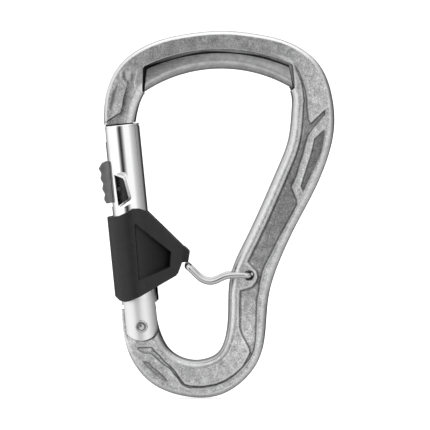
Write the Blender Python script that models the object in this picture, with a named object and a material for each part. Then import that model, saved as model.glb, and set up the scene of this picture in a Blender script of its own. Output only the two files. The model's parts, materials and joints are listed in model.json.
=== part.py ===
"""A belay carabiner with a slide lock: forged frame, steel rope insert, hollow gate, wing sleeve, wire bar.

The carabiner stands upright.  X runs from the gate to the spine, Z runs up to the bow and Y is the
thickness.  The origin is the centre of the whole carabiner.  Lengths are written in millimetres and
become metres as each mesh is made.
"""
import math

import bmesh
import bpy
import numpy as np

MM = 0.001

# Forged frame: ribs across the stock from the nose, over the bow, down the spine and round the basket
# to the hinge.  Each rib is (outer edge x, z, inner edge x, z).
FRAME_RIBS = (
    (-34.6, 27.5, -24.8, 28.45),
    (-34.0, 36.5, -23.6, 33.9),
    (-29.2, 46.6, -20.8, 38.8),
    (-20.9, 52.3, -16.6, 41.5),
    (-9.8, 55.4, -8.0, 43.9),
    (1.6, 56.5, 1.3, 44.8),
    (13.0, 55.4, 11.0, 43.9),
    (24.0, 52.2, 19.2, 41.4),
    (31.8, 46.0, 22.7, 37.9),
    (35.9, 35.0, 23.2, 32.3),
    (35.7, 22.5, 22.2, 23.3),
    (31.5, 10.1, 19.2, 14.9),
    (25.0, -2.6, 13.8, 2.4),
    (19.9, -13.5, 8.8, -8.3),
    (16.4, -24.2, 4.3, -19.5),
    (15.3, -35.0, 3.6, -31.8),
    (11.2, -48.2, 1.1, -42.1),
    (1.5, -55.7, -3.1, -44.7),
    (-9.8, -56.2, -7.9, -45.0),
    (-20.4, -51.8, -13.6, -42.4),
    (-26.9, -43.0, -16.9, -37.2),
    (-28.8, -35.3, -18.2, -32.5),
    (-29.25, -29.5, -18.6, -28.44),
)
FRAME_STATIONS = 84
FACE_HALF = 4.5             # mid-plane to the flat face
RIM_HALF = 4.2              # mid-plane to the inner rim beside the pocket
POCKET_HALF = 3.1           # mid-plane to the pocket floor
FLANGE_WIDTH = 3.1
RIM_WIDTH = 3.2
POCKET_START, POCKET_END = 80.0, 196.0      # along the middle of the stock, from the nose
POCKET_RUNOUT = 10.0

# Steel insert in the bow: two arcs about their own centres.
SEAT_ARC = (1.2, -3.3, 53.3)                # upper face: centre x, z and radius
ROPE_ARC = (1.5, 2.1, 42.7)                 # rope side: centre x, z and radius
SEAT_REACH = (-21.6, 22.6)
ROPE_REACH = (-22.3, 23.8)
INSERT_HALF = 4.4
RIB_HALF = 1.3
RIB_HEIGHT = 1.1
SEAT_GAP = 0.35

# Gate, in its own frame: "across" runs towards the spine and "along" runs up the gate from the rivet.
HINGE = (-23.0, -34.4)
GATE_TILT = math.radians(5.69)
GATE_TOP = 62.3
TUBE_RADIUS = 5.45
BORE_RADIUS = 4.1
TUBE_BOTTOM = -5.0
EAR_INSIDE = 2.5            # mid-plane to the inner face of an ear
EAR_TOP = 6.9
EAR_ARC = (1.6, 6.0)        # end of an ear: height of its centre over the rivet, radius
TONGUE_HALF = 2.2
GATE_OPENING = math.radians(20.0)
RUNNING_GAP = 0.35
RIVET_RADIUS = 1.5
RIVET_HEAD = (1.85, 5.7, 6.2)               # radius, start and end from the mid-plane

# Key on the nose, which the gate closes over.
# Each block: half thickness, reach across towards the spine, low end and high end along the gate.
KEY_OUTER = -4.9
KEY_STEM = (1.2, 3.5, 60.9, 66.0)
KEY_HEAD = (2.0, 1.5, 58.2, 61.0)
KEY_GAP = 0.4

# Slide lock.
SLIDE_TRAVEL = 3.5
THUMB_INNER = -5.8
THUMB_HALF = 2.6
THUMB_SPAN = (38.6, 51.6)
NECK_HALF = 1.3
NECK_SPAN = (41.2, 48.6)
NECK_TIP = -1.2
BOLT_RADIUS = 3.75
BOLT_SPAN = (31.0, 50.0)
BOLT_PIN = (2.1, 57.6)
SLIDER_PIN = (-2.6, 42.7, 0.7)              # across, along, radius
WINDOW = ((-3.75, 47.4), (-1.3, 46.0), (-0.3, 40.4), (-3.4, 38.3))

# Springs and what they bear on.
DIVIDER_ALONG = 20.3
DIVIDER_RADIUS = 1.25
PLUNGER_RADIUS = 3.75
PLUNGER_SPAN = (5.85, 9.4)
PLUNGER_STEM = (1.5, 13.5)
GATE_SPRING = (2.9, 0.35, 9.8, 18.6, 6.0)   # coil radius, wire radius, low end, high end, turns
LOCK_SPRING = (2.8, 0.3, 22.0, 30.6, 6.5)

# Plastic sleeve with its wing.
SLEEVE_OUTER = 7.3
SLEEVE_BORE = 5.8
SLEEVE_SPAN = (6.6, 37.5)
SLEEVE_TOP = ((-9.0, 34.4), (-3.8, 34.5), (-1.4, 35.4), (1.1, 36.4), (3.0, 36.3), (5.0, 35.3),
              (15.3, 23.1))
FRONT_FOOT = ((-9.0, 10.6), (-7.1, 9.7), (-5.9, 8.5), (-4.4, 8.0), (-2.8, 8.2), (0.4, 9.2), (9.0, 13.05))
BACK_FOOT = ((-9.0, 10.6), (-7.1, 9.7), (-5.9, 8.5), (-4.4, 7.4), (-2.8, 7.0), (5.5, 6.9), (9.0, 10.4))
TAIL_ACROSS = 6.0
WING = ((0.4, 9.2), (12.2, 14.5), (12.9, 15.2), (14.2, 17.9), (14.6, 19.0), (15.2, 24.0), (5.4, 36.0),
        (3.0, 37.0), (0.4, 37.0))
WING_HALF = (6.8, 4.9, 15.2)                # half thickness at the axis and at the far end, and its reach
HOOK = ((13.2, 19.6), (14.4, 18.7), (16.4, 18.7), (17.1, 21.3), (16.3, 22.4), (14.4, 24.0))
HOOK_HALF = 3.5
RECESS = ((1.1, 32.0), (11.3, 22.0), (10.5, 17.4), (0.7, 14.3))
RECESS_DEPTH = 2.0

# Wire bar: the leg's route in the plane of the frame, from its pivot to the cross bar.
WIRE_RADIUS = 0.95
WIRE_HALF = 5.4             # mid-plane to the middle of a leg
WIRE_ROUTE = ((10.1, -18.7), (6.1, -18.6), (2.7, -19.1), (-1.3, -20.45), (-4.1, -19.55), (-7.2, -16.9),
              (-8.9, -15.5))
WIRE_BEND = 1.3
WIRE_END_GAP = 0.5
WIRE_HOLE = 1.3
BOSS_RADIUS = 3.1


# ---------------------------------------------------------------- curves

def spline(knots, values, at):
    """A natural cubic spline through values (one row per knot), read at the parameters in at."""
    count = len(knots)
    gaps = np.diff(knots)
    system = np.eye(count)
    right = np.zeros_like(values)
    for i in range(1, count - 1):
        system[i, i - 1:i + 2] = gaps[i - 1], 2 * (gaps[i - 1] + gaps[i]), gaps[i]
        right[i] = 6 * ((values[i + 1] - values[i]) / gaps[i] - (values[i] - values[i - 1]) / gaps[i - 1])
    bend = np.linalg.solve(system, right)
    i = np.clip(np.searchsorted(knots, at) - 1, 0, count - 2)
    left = (at - knots[i])[:, None]
    rest = (knots[i + 1] - at)[:, None]
    gap = gaps[i][:, None]
    curved = (bend[i] * rest ** 3 + bend[i + 1] * left ** 3) / (6 * gap)
    straight = (values[i] / gap - bend[i] * gap / 6) * rest
    straight += (values[i + 1] / gap - bend[i + 1] * gap / 6) * left
    return curved + straight


def run_length(points):
    """The distance along a list of points to each of them."""
    steps = np.linalg.norm(np.diff(points, axis=0), axis=1)
    return np.concatenate(([0.0], np.cumsum(steps)))


def frame_edges(stations):
    """Outer edge, inner edge and distance along the stock, at evenly spaced stations."""
    ribs = np.array(FRAME_RIBS)
    along = run_length((ribs[:, :2] + ribs[:, 2:]) / 2)
    at = np.linspace(0.0, along[-1], stations)
    edges = spline(along, ribs, at)
    return edges[:, :2], edges[:, 2:], at


def arc_height(arc, x):
    """The height of an arc's upper side at x."""
    centre_x, centre_z, radius = arc
    return centre_z + math.sqrt(radius ** 2 - (x - centre_x) ** 2)


def to_world(across, along):
    """A point of the gate's frame as world x and z."""
    sine, cosine = math.sin(GATE_TILT), math.cos(GATE_TILT)
    return (HINGE[0] + across * cosine - along * sine, HINGE[1] + across * sine + along * cosine)


# ---------------------------------------------------------------- meshes

def material(name, colour, metallic, roughness):
    made = bpy.data.materials.new(name)
    made.use_nodes = True
    shader = made.node_tree.nodes["Principled BSDF"]
    shader.inputs["Base Color"].default_value = (*colour, 1.0)
    shader.inputs["Metallic"].default_value = metallic
    shader.inputs["Roughness"].default_value = roughness
    return made


def solid(name, verts, faces, finish=None, parent=None):
    """An object from vertices in millimetres, with its faces turned outwards."""
    mesh = bpy.data.meshes.new(name)
    mesh.from_pydata([(x * MM, y * MM, z * MM) for x, y, z in verts], [], faces)
    work = bmesh.new()
    work.from_mesh(mesh)
    bmesh.ops.recalc_face_normals(work, faces=work.faces)
    work.to_mesh(mesh)
    work.free()
    made = bpy.data.objects.new(name, mesh)
    bpy.context.collection.objects.link(made)
    made.parent = parent
    if finish:
        mesh.materials.append(finish)
    return made


def skin(name, rings, finish=None, parent=None, capped=True, looped=False):
    """Rings of equal point counts joined side by side, with flat caps or joined end to end."""
    size = len(rings[0])
    verts = [point for ring in rings for point in ring]
    faces = []
    last = len(rings) if looped else len(rings) - 1
    for i in range(last):
        here, there = i * size, (i + 1) % len(rings) * size
        for j in range(size):
            k = (j + 1) % size
            faces.append((here + j, here + k, there + k, there + j))
    if capped and not looped:
        faces.append(tuple(range(size)))
        faces.append(tuple(range(len(verts) - size, len(verts))))
    return solid(name, verts, faces, finish, parent)


def slab(name, outline, front, back, finish=None, parent=None):
    """An outline in x and z between two faces, whose y may depend on x."""
    rings = [[(x, side(x) if callable(side) else side, z) for x, z in outline] for side in (front, back)]
    return skin(name, rings, finish, parent)


def box(name, across, y, along, parent=None):
    """A block between the limits of three axes."""
    corners = ((across[0], along[0]), (across[1], along[0]), (across[1], along[1]), (across[0], along[1]))
    return slab(name, corners, y[0], y[1], parent=parent)


def circle(radius, segments, centre=(0.0, 0.0)):
    turns = [2 * math.pi * i / segments for i in range(segments)]
    return [(centre[0] + radius * math.cos(t), centre[1] + radius * math.sin(t)) for t in turns]


def turned(name, profile, finish=None, parent=None, segments=48, ring=False):
    """A profile of (radius, height) points turned about z, either solid or a ring with a closed profile."""
    rings = [[(x, y, height) for x, y in circle(radius, segments)] for radius, height in profile]
    return skin(name, rings, finish, parent, looped=ring)


def rod(name, centre, radius, reach, finish=None, parent=None, segments=24):
    """A round bar along y about a point in x and z."""
    return slab(name, circle(radius, segments, centre), reach[0], reach[1], finish, parent)


def pipe(name, route, radius, sides, finish=None, parent=None):
    """A round wire along a route of three-dimensional points, with flat ends."""
    route = np.array(route)
    heading = np.gradient(route, axis=0)
    heading /= np.linalg.norm(heading, axis=1)[:, None]
    side = np.cross(heading[0], (0.3, 0.2, 1.0))
    rings = []
    for point, ahead in zip(route, heading):
        side = side - ahead * np.dot(side, ahead)
        side /= np.linalg.norm(side)
        other = np.cross(ahead, side)
        rings.append([tuple(point + radius * (c * side + s * other)) for c, s in circle(1.0, sides)])
    return skin(name, rings, finish, parent)


def cut(target, cutter, operation="DIFFERENCE"):
    """A Boolean of target with cutter, which stays in the file as a hidden guide."""
    cutter.hide_render = True
    cutter.display_type = "WIRE"
    step = target.modifiers.new(cutter.name, "BOOLEAN")
    step.operation = operation
    step.solver = "EXACT"
    step.object = cutter


def empty(name, place, tilt=0.0):
    """A guide on a joint's axis."""
    made = bpy.data.objects.new(name, None)
    bpy.context.collection.objects.link(made)
    made.location = (place[0] * MM, 0.0, place[1] * MM)
    made.rotation_euler = (0.0, -tilt, 0.0)
    return made


# ---------------------------------------------------------------- frame

def pocket_share(along):
    """0 where the face is flat and 1 where the stock has its full pocket."""
    rise = min(max((along - POCKET_START) / POCKET_RUNOUT, 0.0), 1.0)
    fall = min(max((POCKET_END - along) / POCKET_RUNOUT, 0.0), 1.0)
    return min(rise, fall)


def frame_section(width, share):
    """(distance from the outer edge, half thickness) across the stock."""
    rim = FACE_HALF + (RIM_HALF - FACE_HALF) * share
    floor = FACE_HALF + (POCKET_HALF - FACE_HALF) * share
    outer_side = ((0.0, 2.5), (0.45, 3.7), (1.3, FACE_HALF), (FLANGE_WIDTH, FACE_HALF))
    pocket = ((FLANGE_WIDTH + 0.6, floor), (width - RIM_WIDTH - 0.6, floor))
    inner_side = ((width - RIM_WIDTH, rim), (width - 1.8, rim), (width - 0.6, 3.2), (width, 1.5))
    return outer_side + pocket + inner_side


def ear_reach(angle):
    """Distance from the rivet to the edge of a gate ear in one direction."""
    height, radius = EAR_ARC
    end = height * math.sin(angle) + math.sqrt(radius ** 2 - (height * math.cos(angle)) ** 2)
    flank = math.sqrt(TUBE_RADIUS ** 2 - EAR_INSIDE ** 2) / max(abs(math.cos(angle)), 1e-6)
    return min(end, flank)


def ear_relief():
    """Outline in the gate's frame that the ears sweep as the gate opens, open towards the gate."""
    outline = [(-5.1, 14.0), (-5.1, 0.5)]
    for i in range(25):
        angle = math.pi + math.pi * i / 24
        swept = max(ear_reach(angle + GATE_OPENING * k / 4) for k in range(5))
        reach = swept + RUNNING_GAP
        outline.append((reach * math.cos(angle), reach * math.sin(angle)))
    return outline + [(9.0, 0.5), (9.0, 14.0)]


def build_frame(finish):
    outer, inner, along = frame_edges(FRAME_STATIONS)
    rings = []
    for start, end, place in zip(outer, inner, along):
        width = float(np.linalg.norm(end - start))
        section = frame_section(width, pocket_share(place))
        front = [(*(start + (end - start) * offset / width), -half) for offset, half in section]
        back = [(x, z, -y) for x, z, y in reversed(front)]
        rings.append([(x, y, z) for x, z, y in front + back])
    frame = skin("frame", rings, finish)

    cut(frame, rod("boss_guide", WIRE_ROUTE[0], BOSS_RADIUS, (-RIM_HALF + 0.02, RIM_HALF - 0.02)), "UNION")
    for name, (half, reach, low, high) in (("key_stem_guide", KEY_STEM), ("key_head_guide", KEY_HEAD)):
        corners = ((KEY_OUTER, low), (reach, low), (reach, high), (KEY_OUTER, high))
        cut(frame, slab(name, [to_world(*corner) for corner in corners], -half, half), "UNION")
    cut(frame, slab("insert_seat_guide", seat_outline(SEAT_GAP), -9.0, 9.0))
    cut(frame, slab("insert_groove_guide", groove_outline(), -RIB_HALF - SEAT_GAP, RIB_HALF + SEAT_GAP))
    relief = [to_world(*point) for point in ear_relief()]
    cut(frame, slab("front_ear_guide", relief, -9.0, -TONGUE_HALF))
    cut(frame, slab("back_ear_guide", relief, TONGUE_HALF, 9.0))
    cut(frame, rod("rivet_bore_guide", HINGE, RIVET_RADIUS + 0.2, (-9.0, 9.0)))
    cut(frame, rod("wire_bore_guide", WIRE_ROUTE[0], WIRE_HOLE, (-9.0, 9.0)))
    return frame


# ---------------------------------------------------------------- insert

def seat_arc(grow, points=27):
    """The upper face of the insert, grown by a gap."""
    arc = (SEAT_ARC[0], SEAT_ARC[1], SEAT_ARC[2] + grow)
    reach = (SEAT_REACH[0] - grow, SEAT_REACH[1] + grow)
    return [(x, arc_height(arc, x)) for x in np.linspace(*reach, points)]


def seat_outline(gap):
    """The space in the frame that the insert fills, open into the main opening."""
    left = (ROPE_REACH[0] - gap, arc_height(ROPE_ARC, ROPE_REACH[0]) - gap)
    right = (ROPE_REACH[1] + gap, arc_height(ROPE_ARC, ROPE_REACH[1]) - gap)
    return [left, *seat_arc(gap), right, (right[0] - 1.4, right[1] - 0.7), (17.0, 30.0), (-18.0, 30.0)]


def groove_outline():
    """The central groove above the seat, which takes the insert's rib."""
    inset = 3.0
    low = SEAT_REACH[0] + inset - SEAT_GAP
    high = SEAT_REACH[1] - inset + SEAT_GAP
    top = (SEAT_ARC[0], SEAT_ARC[1], SEAT_ARC[2] + RIB_HEIGHT + SEAT_GAP)
    upper = [(x, arc_height(top, x)) for x in np.linspace(low, high, 20)]
    lower = [(x, arc_height(SEAT_ARC, x) - 1.0) for x in np.linspace(high, low, 20)]
    return upper + lower


def build_insert(finish):
    rings = []
    for share in np.linspace(0.0, 1.0, 30):
        top_x = SEAT_REACH[0] + (SEAT_REACH[1] - SEAT_REACH[0]) * share
        low_x = ROPE_REACH[0] + (ROPE_REACH[1] - ROPE_REACH[0]) * share
        top = np.array((top_x, arc_height(SEAT_ARC, top_x)))
        low = np.array((low_x, arc_height(ROPE_ARC, low_x)))
        section = [(0.0, INSERT_HALF)]
        for turn in np.linspace(0.0, math.pi / 2, 6):
            section.append((0.4 + 0.6 * math.sin(turn), 0.6 + (INSERT_HALF - 0.6) * math.cos(turn)))
        front = [(top + (low - top) * depth, -half) for depth, half in section]
        ring = front + [(place, -y) for place, y in reversed(front)]
        rings.append([(place[0], y, place[1]) for place, y in ring])
    insert = skin("steel_insert", rings, finish)
    inset = 3.0
    arc = (SEAT_ARC[0], SEAT_ARC[1], SEAT_ARC[2] + RIB_HEIGHT)
    reach = np.linspace(SEAT_REACH[0] + inset, SEAT_REACH[1] - inset, 20)
    rib = [(x, arc_height(arc, x)) for x in reach]
    rib += [(x, arc_height(SEAT_ARC, x) - 1.0) for x in reversed(reach)]
    cut(insert, slab("insert_rib_guide", rib, -RIB_HALF, RIB_HALF), "UNION")
    return insert


# ---------------------------------------------------------------- gate

def build_gate_tube(gate, finish):
    edge = 0.35
    profile = ((TUBE_RADIUS, TUBE_BOTTOM), (TUBE_RADIUS, GATE_TOP - edge), (TUBE_RADIUS - edge, GATE_TOP),
               (BORE_RADIUS, GATE_TOP), (BORE_RADIUS, TUBE_BOTTOM))
    tube = turned("gate_tube", profile, finish, gate, ring=True)

    cut(tube, box("ear_slot_guide", (-9.0, 9.0), (-EAR_INSIDE, EAR_INSIDE), (-9.0, EAR_TOP), gate))
    height, radius = EAR_ARC
    arc = [(radius * math.cos(t), height + radius * math.sin(t)) for t in np.linspace(-math.pi, 0.0, 33)]
    end = [(-9.0, -9.0), (-9.0, height), *arc, (9.0, height), (9.0, -9.0)]
    # The flats beside the arc stop at the height where the arc meets the side of the tube.
    level = height - math.sqrt(radius ** 2 - TUBE_RADIUS ** 2)
    end = [(x, min(z, level)) for x, z in end]
    cut(tube, slab("ear_end_guide", end, -9.0, 9.0, parent=gate))
    cut(tube, rod("ear_bore_guide", (0.0, 0.0), RIVET_RADIUS + 0.15, (-9.0, 9.0), parent=gate))
    divider = (0.0, DIVIDER_ALONG)
    cut(tube, rod("divider_bore_guide", divider, DIVIDER_RADIUS + 0.15, (-9.0, 9.0), parent=gate))
    cut(tube, slab("window_guide", WINDOW, -9.0, -0.5, parent=gate))
    slot = (NECK_SPAN[0] - SLIDE_TRAVEL - RUNNING_GAP, NECK_SPAN[1] + RUNNING_GAP)
    cut(tube, box("neck_slot_guide", (-9.0, -1.0), (-NECK_HALF - 0.3, NECK_HALF + 0.3), slot, gate))
    stem, head = KEY_STEM[0] + KEY_GAP, KEY_HEAD[0] + KEY_GAP
    cut(tube, box("key_stem_slot", (-9.0, -1.0), (-stem, stem), (60.0, 66.0), gate))
    cut(tube, box("key_head_slot", (-9.0, -1.0), (-head, head), (57.4, 61.3), gate))
    return tube


def build_rivet(finish):
    """The hinge rivet: a shank with a low round head on each side."""
    radius, start, end = RIVET_HEAD
    head = ((0.5, -end + 0.25), (1.0, -end), (radius - 0.3, -end), (radius, -end + 0.25), (radius, -start))
    profile = (*head, (RIVET_RADIUS, -start))
    profile += tuple((r, -y) for r, y in reversed(profile))
    rings = [[(HINGE[0] + x, y, HINGE[1] + z) for x, z in circle(r, 24)] for r, y in profile]
    return skin("hinge_rivet", rings, finish)


def coil(name, spring, finish, parent):
    """A compression spring about the gate's axis."""
    radius, wire, low, high, turns = spring
    count = int(turns * 12) + 1
    route = []
    for i in range(count):
        share = i / (count - 1)
        angle = 2 * math.pi * turns * share
        height = low + wire + (high - low - 2 * wire) * share
        route.append((radius * math.cos(angle), radius * math.sin(angle), height))
    return pipe(name, route, wire, 6, finish, parent)


def build_plunger(gate, finish):
    stem_radius, stem_top = PLUNGER_STEM
    low, high = PLUNGER_SPAN
    profile = ((PLUNGER_RADIUS - 0.3, low), (PLUNGER_RADIUS, low + 0.3), (PLUNGER_RADIUS, high),
               (stem_radius, high), (stem_radius, stem_top - 0.3), (stem_radius - 0.3, stem_top))
    return turned("spring_plunger", profile, finish, gate, 32)


def thumb_outline():
    """The thumb piece from the side: a peak at the top and four grip waves below it."""
    low, high = THUMB_SPAN
    peak = high - 2.0
    outline = [(THUMB_INNER, high), (-7.3, high - 0.5), (-8.4, peak)]
    for height in np.linspace(peak - 0.6, low + 0.5, 20):
        wave = 0.22 * math.cos(2 * math.pi * (peak - height) / 3.2)
        outline.append((-8.1 + 0.075 * (peak - height) - wave, height))
    return outline + [(-7.1, low), (THUMB_INNER, low)]


def build_slider(gate, finish):
    thumb = slab("lock_slider", thumb_outline(), -THUMB_HALF, THUMB_HALF, finish, gate)
    neck = box("neck_guide", (THUMB_INNER - 0.6, NECK_TIP), (-NECK_HALF, NECK_HALF), NECK_SPAN, gate)
    cut(thumb, neck, "UNION")
    across, along, radius = SLIDER_PIN
    cut(thumb, rod("neck_bore_guide", (across, along), radius + 0.15, (-9.0, 9.0), parent=gate))
    return thumb


def build_bolt(gate, finish):
    pin_radius, pin_top = BOLT_PIN
    low, high = BOLT_SPAN
    profile = ((BOLT_RADIUS - 0.4, low), (BOLT_RADIUS, low + 0.4), (BOLT_RADIUS, high - 0.6),
               (BOLT_RADIUS - 0.6, high), (pin_radius, high), (pin_radius, pin_top - 0.4),
               (pin_radius - 0.4, pin_top))
    bolt = turned("lock_bolt", profile, finish, gate, 32)
    pocket = (NECK_SPAN[0] - 0.3, NECK_SPAN[1] + 0.3)
    half = NECK_HALF + 0.3
    cut(bolt, box("neck_pocket_guide", (-9.0, NECK_TIP + 0.3), (-half, half), pocket, gate))
    across, along, radius = SLIDER_PIN
    cut(bolt, rod("bolt_bore_guide", (across, along), radius + 0.15, (-9.0, 9.0), parent=gate))
    return bolt


def build_slider_pin(gate, finish):
    across, along, radius = SLIDER_PIN
    return rod("slider_pin", (across, along), radius, (-2.5, 2.5), finish, gate, 20)


def build_divider(gate, finish):
    return rod("divider_pin", (0.0, DIVIDER_ALONG), DIVIDER_RADIUS, (-5.25, 5.25), finish, gate)


# ---------------------------------------------------------------- sleeve

def wing_surface(side, depth=0.0):
    """The wing's face as y at a distance across, less a depth that grows towards its far end."""
    root, far, reach = WING_HALF

    def face(across):
        share = across / reach
        return side * (root + (far - root) * share - depth * share)
    return face


def build_sleeve(gate, finish):
    low, high = SLEEVE_SPAN
    ring = ((SLEEVE_OUTER, low), (SLEEVE_OUTER, high), (SLEEVE_BORE, high), (SLEEVE_BORE, low))
    sleeve = turned("wing_sleeve", ring, finish, gate, ring=True)
    cut(sleeve, slab("wing_guide", WING, wing_surface(-1), wing_surface(1), parent=gate), "UNION")
    cut(sleeve, slab("hook_guide", HOOK, -HOOK_HALF, HOOK_HALF, parent=gate), "UNION")
    bore = ((SLEEVE_BORE - 0.01, -2.0), (SLEEVE_BORE - 0.01, high + 5.0))
    cut(sleeve, turned("sleeve_bore_guide", bore, parent=gate))
    top = [*SLEEVE_TOP, (15.3, 42.0), (-9.0, 42.0)]
    cut(sleeve, slab("sleeve_top_guide", top, -9.0, 9.0, parent=gate))
    feet = (("front_foot_guide", FRONT_FOOT, -9.0, 0.0), ("back_foot_guide", BACK_FOOT, -0.2, 9.0))
    for name, foot, front, back in feet:
        cut(sleeve, slab(name, [*foot, (9.0, 0.0), (-9.0, 0.0)], front, back, parent=gate))
    cut(sleeve, box("sleeve_tail_guide", (TAIL_ACROSS, 9.0), (-0.5, 9.0), (0.0, 11.9), gate))
    for name, side in (("front_recess_guide", -1), ("back_recess_guide", 1)):
        cut(sleeve, slab(name, RECESS, side * 9.0, wing_surface(side, RECESS_DEPTH), parent=gate))
    return sleeve


# ---------------------------------------------------------------- wire bar

def rounded_route(corners, radii, steps=4):
    """A route through corners, each turned by an arc-like curve of its own radius."""
    route = [np.array(corners[0])]
    for i in range(1, len(corners) - 1):
        corner = np.array(corners[i])
        back = np.array(corners[i - 1]) - corner
        ahead = np.array(corners[i + 1]) - corner
        start = corner + back / np.linalg.norm(back) * radii[i]
        end = corner + ahead / np.linalg.norm(ahead) * radii[i]
        for share in np.linspace(0.0, 1.0, steps + 1):
            route.append((1 - share) ** 2 * start + 2 * share * (1 - share) * corner + share ** 2 * end)
    route.append(np.array(corners[-1]))
    return route


def build_wire(pivot, finish):
    """Both legs and the cross bar as one bent wire, whose ends meet inside the frame's bore."""
    route = np.array(WIRE_ROUTE) - np.array(WIRE_ROUTE[0])
    knots = run_length(route)
    leg = spline(knots, route, np.linspace(0.0, knots[-1], 15))
    front = [(x, -WIRE_HALF, z) for x, z in leg]
    back = [(x, WIRE_HALF, z) for x, z in reversed(leg)]
    corners = [(0.0, -WIRE_END_GAP, 0.0), *front, *back, (0.0, WIRE_END_GAP, 0.0)]
    bends = (1, len(front), len(front) + 1, len(corners) - 2)
    radii = [0.2] * len(corners)
    for corner in bends:
        radii[corner] = WIRE_BEND
    # The bends take up the leg's end stretches, so the points inside them are left out.
    fixed = {0, *bends, len(corners) - 1}
    reach = WIRE_BEND + 0.2
    clear = [min(math.dist(point, corners[bend]) for bend in bends) > reach for point in corners]
    keep = [i for i in range(len(corners)) if i in fixed or clear[i]]
    smooth = rounded_route([corners[i] for i in keep], [radii[i] for i in keep], 3)
    return pipe("wire_bar", smooth, WIRE_RADIUS, 10, finish, pivot)


# ---------------------------------------------------------------- assembly

def clear_scene():
    for thing in list(bpy.data.objects):
        bpy.data.objects.remove(thing, do_unlink=True)


def shade(thing):
    """Smooth round faces with crisp edges."""
    thing.data.shade_smooth()
    thing.data.set_sharp_from_angle(angle=math.radians(35))


def main():
    clear_scene()
    aluminium = material("aluminium", (0.55, 0.55, 0.56), 0.9, 0.42)
    insert_steel = material("insert_steel", (0.48, 0.48, 0.49), 1.0, 0.35)
    polished = material("polished_aluminium", (0.85, 0.85, 0.86), 1.0, 0.12)
    rivet_steel = material("rivet_steel", (0.62, 0.62, 0.63), 1.0, 0.25)
    wire_steel = material("wire_steel", (0.7, 0.7, 0.7), 1.0, 0.15)
    spring_steel = material("spring_steel", (0.4, 0.4, 0.42), 1.0, 0.35)
    slider_grey = material("slider_grey", (0.14, 0.14, 0.145), 0.6, 0.45)
    bolt_black = material("bolt_black", (0.02, 0.02, 0.02), 0.5, 0.4)
    sleeve_plastic = material("sleeve_plastic", (0.03, 0.03, 0.03), 0.0, 0.5)

    gate = empty("gate_axis", HINGE, GATE_TILT)
    wire_pivot = empty("wire_axis", WIRE_ROUTE[0])
    pieces = [
        build_frame(aluminium),
        build_insert(insert_steel),
        build_rivet(rivet_steel),
        build_gate_tube(gate, polished),
        build_sleeve(gate, sleeve_plastic),
        build_divider(gate, rivet_steel),
        coil("gate_spring", GATE_SPRING, spring_steel, gate),
        coil("lock_spring", LOCK_SPRING, spring_steel, gate),
        build_plunger(gate, rivet_steel),
        build_slider(gate, slider_grey),
        build_bolt(gate, bolt_black),
        build_slider_pin(gate, spring_steel),
        build_wire(wire_pivot, wire_steel),
    ]
    for piece in pieces:
        shade(piece)


main()
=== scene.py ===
"""Looks of the belay carabiner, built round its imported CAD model.

Outlines are in millimetres in the plane of the frame, (x, z), or for pieces on the gate in the gate's own
frame, (across, along): across runs towards the spine and along runs up the gate from the rivet.
"""

import json
from math import asin, cos, pi, radians, sin, sqrt

import bmesh
import bpy
import numpy as np
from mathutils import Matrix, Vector, noise


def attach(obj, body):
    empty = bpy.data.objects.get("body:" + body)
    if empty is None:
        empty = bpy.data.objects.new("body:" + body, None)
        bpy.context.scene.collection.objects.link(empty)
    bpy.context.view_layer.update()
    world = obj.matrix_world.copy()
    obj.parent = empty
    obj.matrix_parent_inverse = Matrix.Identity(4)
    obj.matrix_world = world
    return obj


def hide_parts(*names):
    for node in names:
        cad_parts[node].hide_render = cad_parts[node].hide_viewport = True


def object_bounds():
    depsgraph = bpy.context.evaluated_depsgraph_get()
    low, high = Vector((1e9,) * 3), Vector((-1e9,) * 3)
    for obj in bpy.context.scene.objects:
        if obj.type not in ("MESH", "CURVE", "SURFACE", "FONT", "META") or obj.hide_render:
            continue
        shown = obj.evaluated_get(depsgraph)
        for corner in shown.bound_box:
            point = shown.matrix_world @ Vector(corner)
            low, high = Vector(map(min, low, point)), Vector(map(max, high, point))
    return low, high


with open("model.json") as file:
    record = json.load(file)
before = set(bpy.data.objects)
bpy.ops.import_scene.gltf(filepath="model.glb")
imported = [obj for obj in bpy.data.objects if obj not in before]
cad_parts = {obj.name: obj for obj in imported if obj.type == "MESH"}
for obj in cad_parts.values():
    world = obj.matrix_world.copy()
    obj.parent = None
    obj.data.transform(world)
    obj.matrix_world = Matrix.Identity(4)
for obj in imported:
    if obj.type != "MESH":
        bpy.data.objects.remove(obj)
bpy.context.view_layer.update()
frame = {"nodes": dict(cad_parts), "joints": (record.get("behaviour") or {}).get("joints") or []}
MM = 0.001
JOINTS = {joint["name"]: joint for joint in frame["joints"]}


def pivot(joint):
    """Where a joint's axis crosses the plane of the frame, in millimetres."""
    x, _, z = JOINTS[joint]["pos_m"]
    return x / MM, z / MM


HINGE = pivot("gate_swing")
WIRE_PIVOT = pivot("wire_swing")
GATE_TILT = asin(JOINTS["slider_slide"]["axis"][0])
SLIDE_TRAVEL = JOINTS["slider_slide"]["range_m"][1] / MM

CLEAR = 9  # cutters that pass right through a piece reach this far
THROUGH = (-CLEAR, CLEAR)

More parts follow.
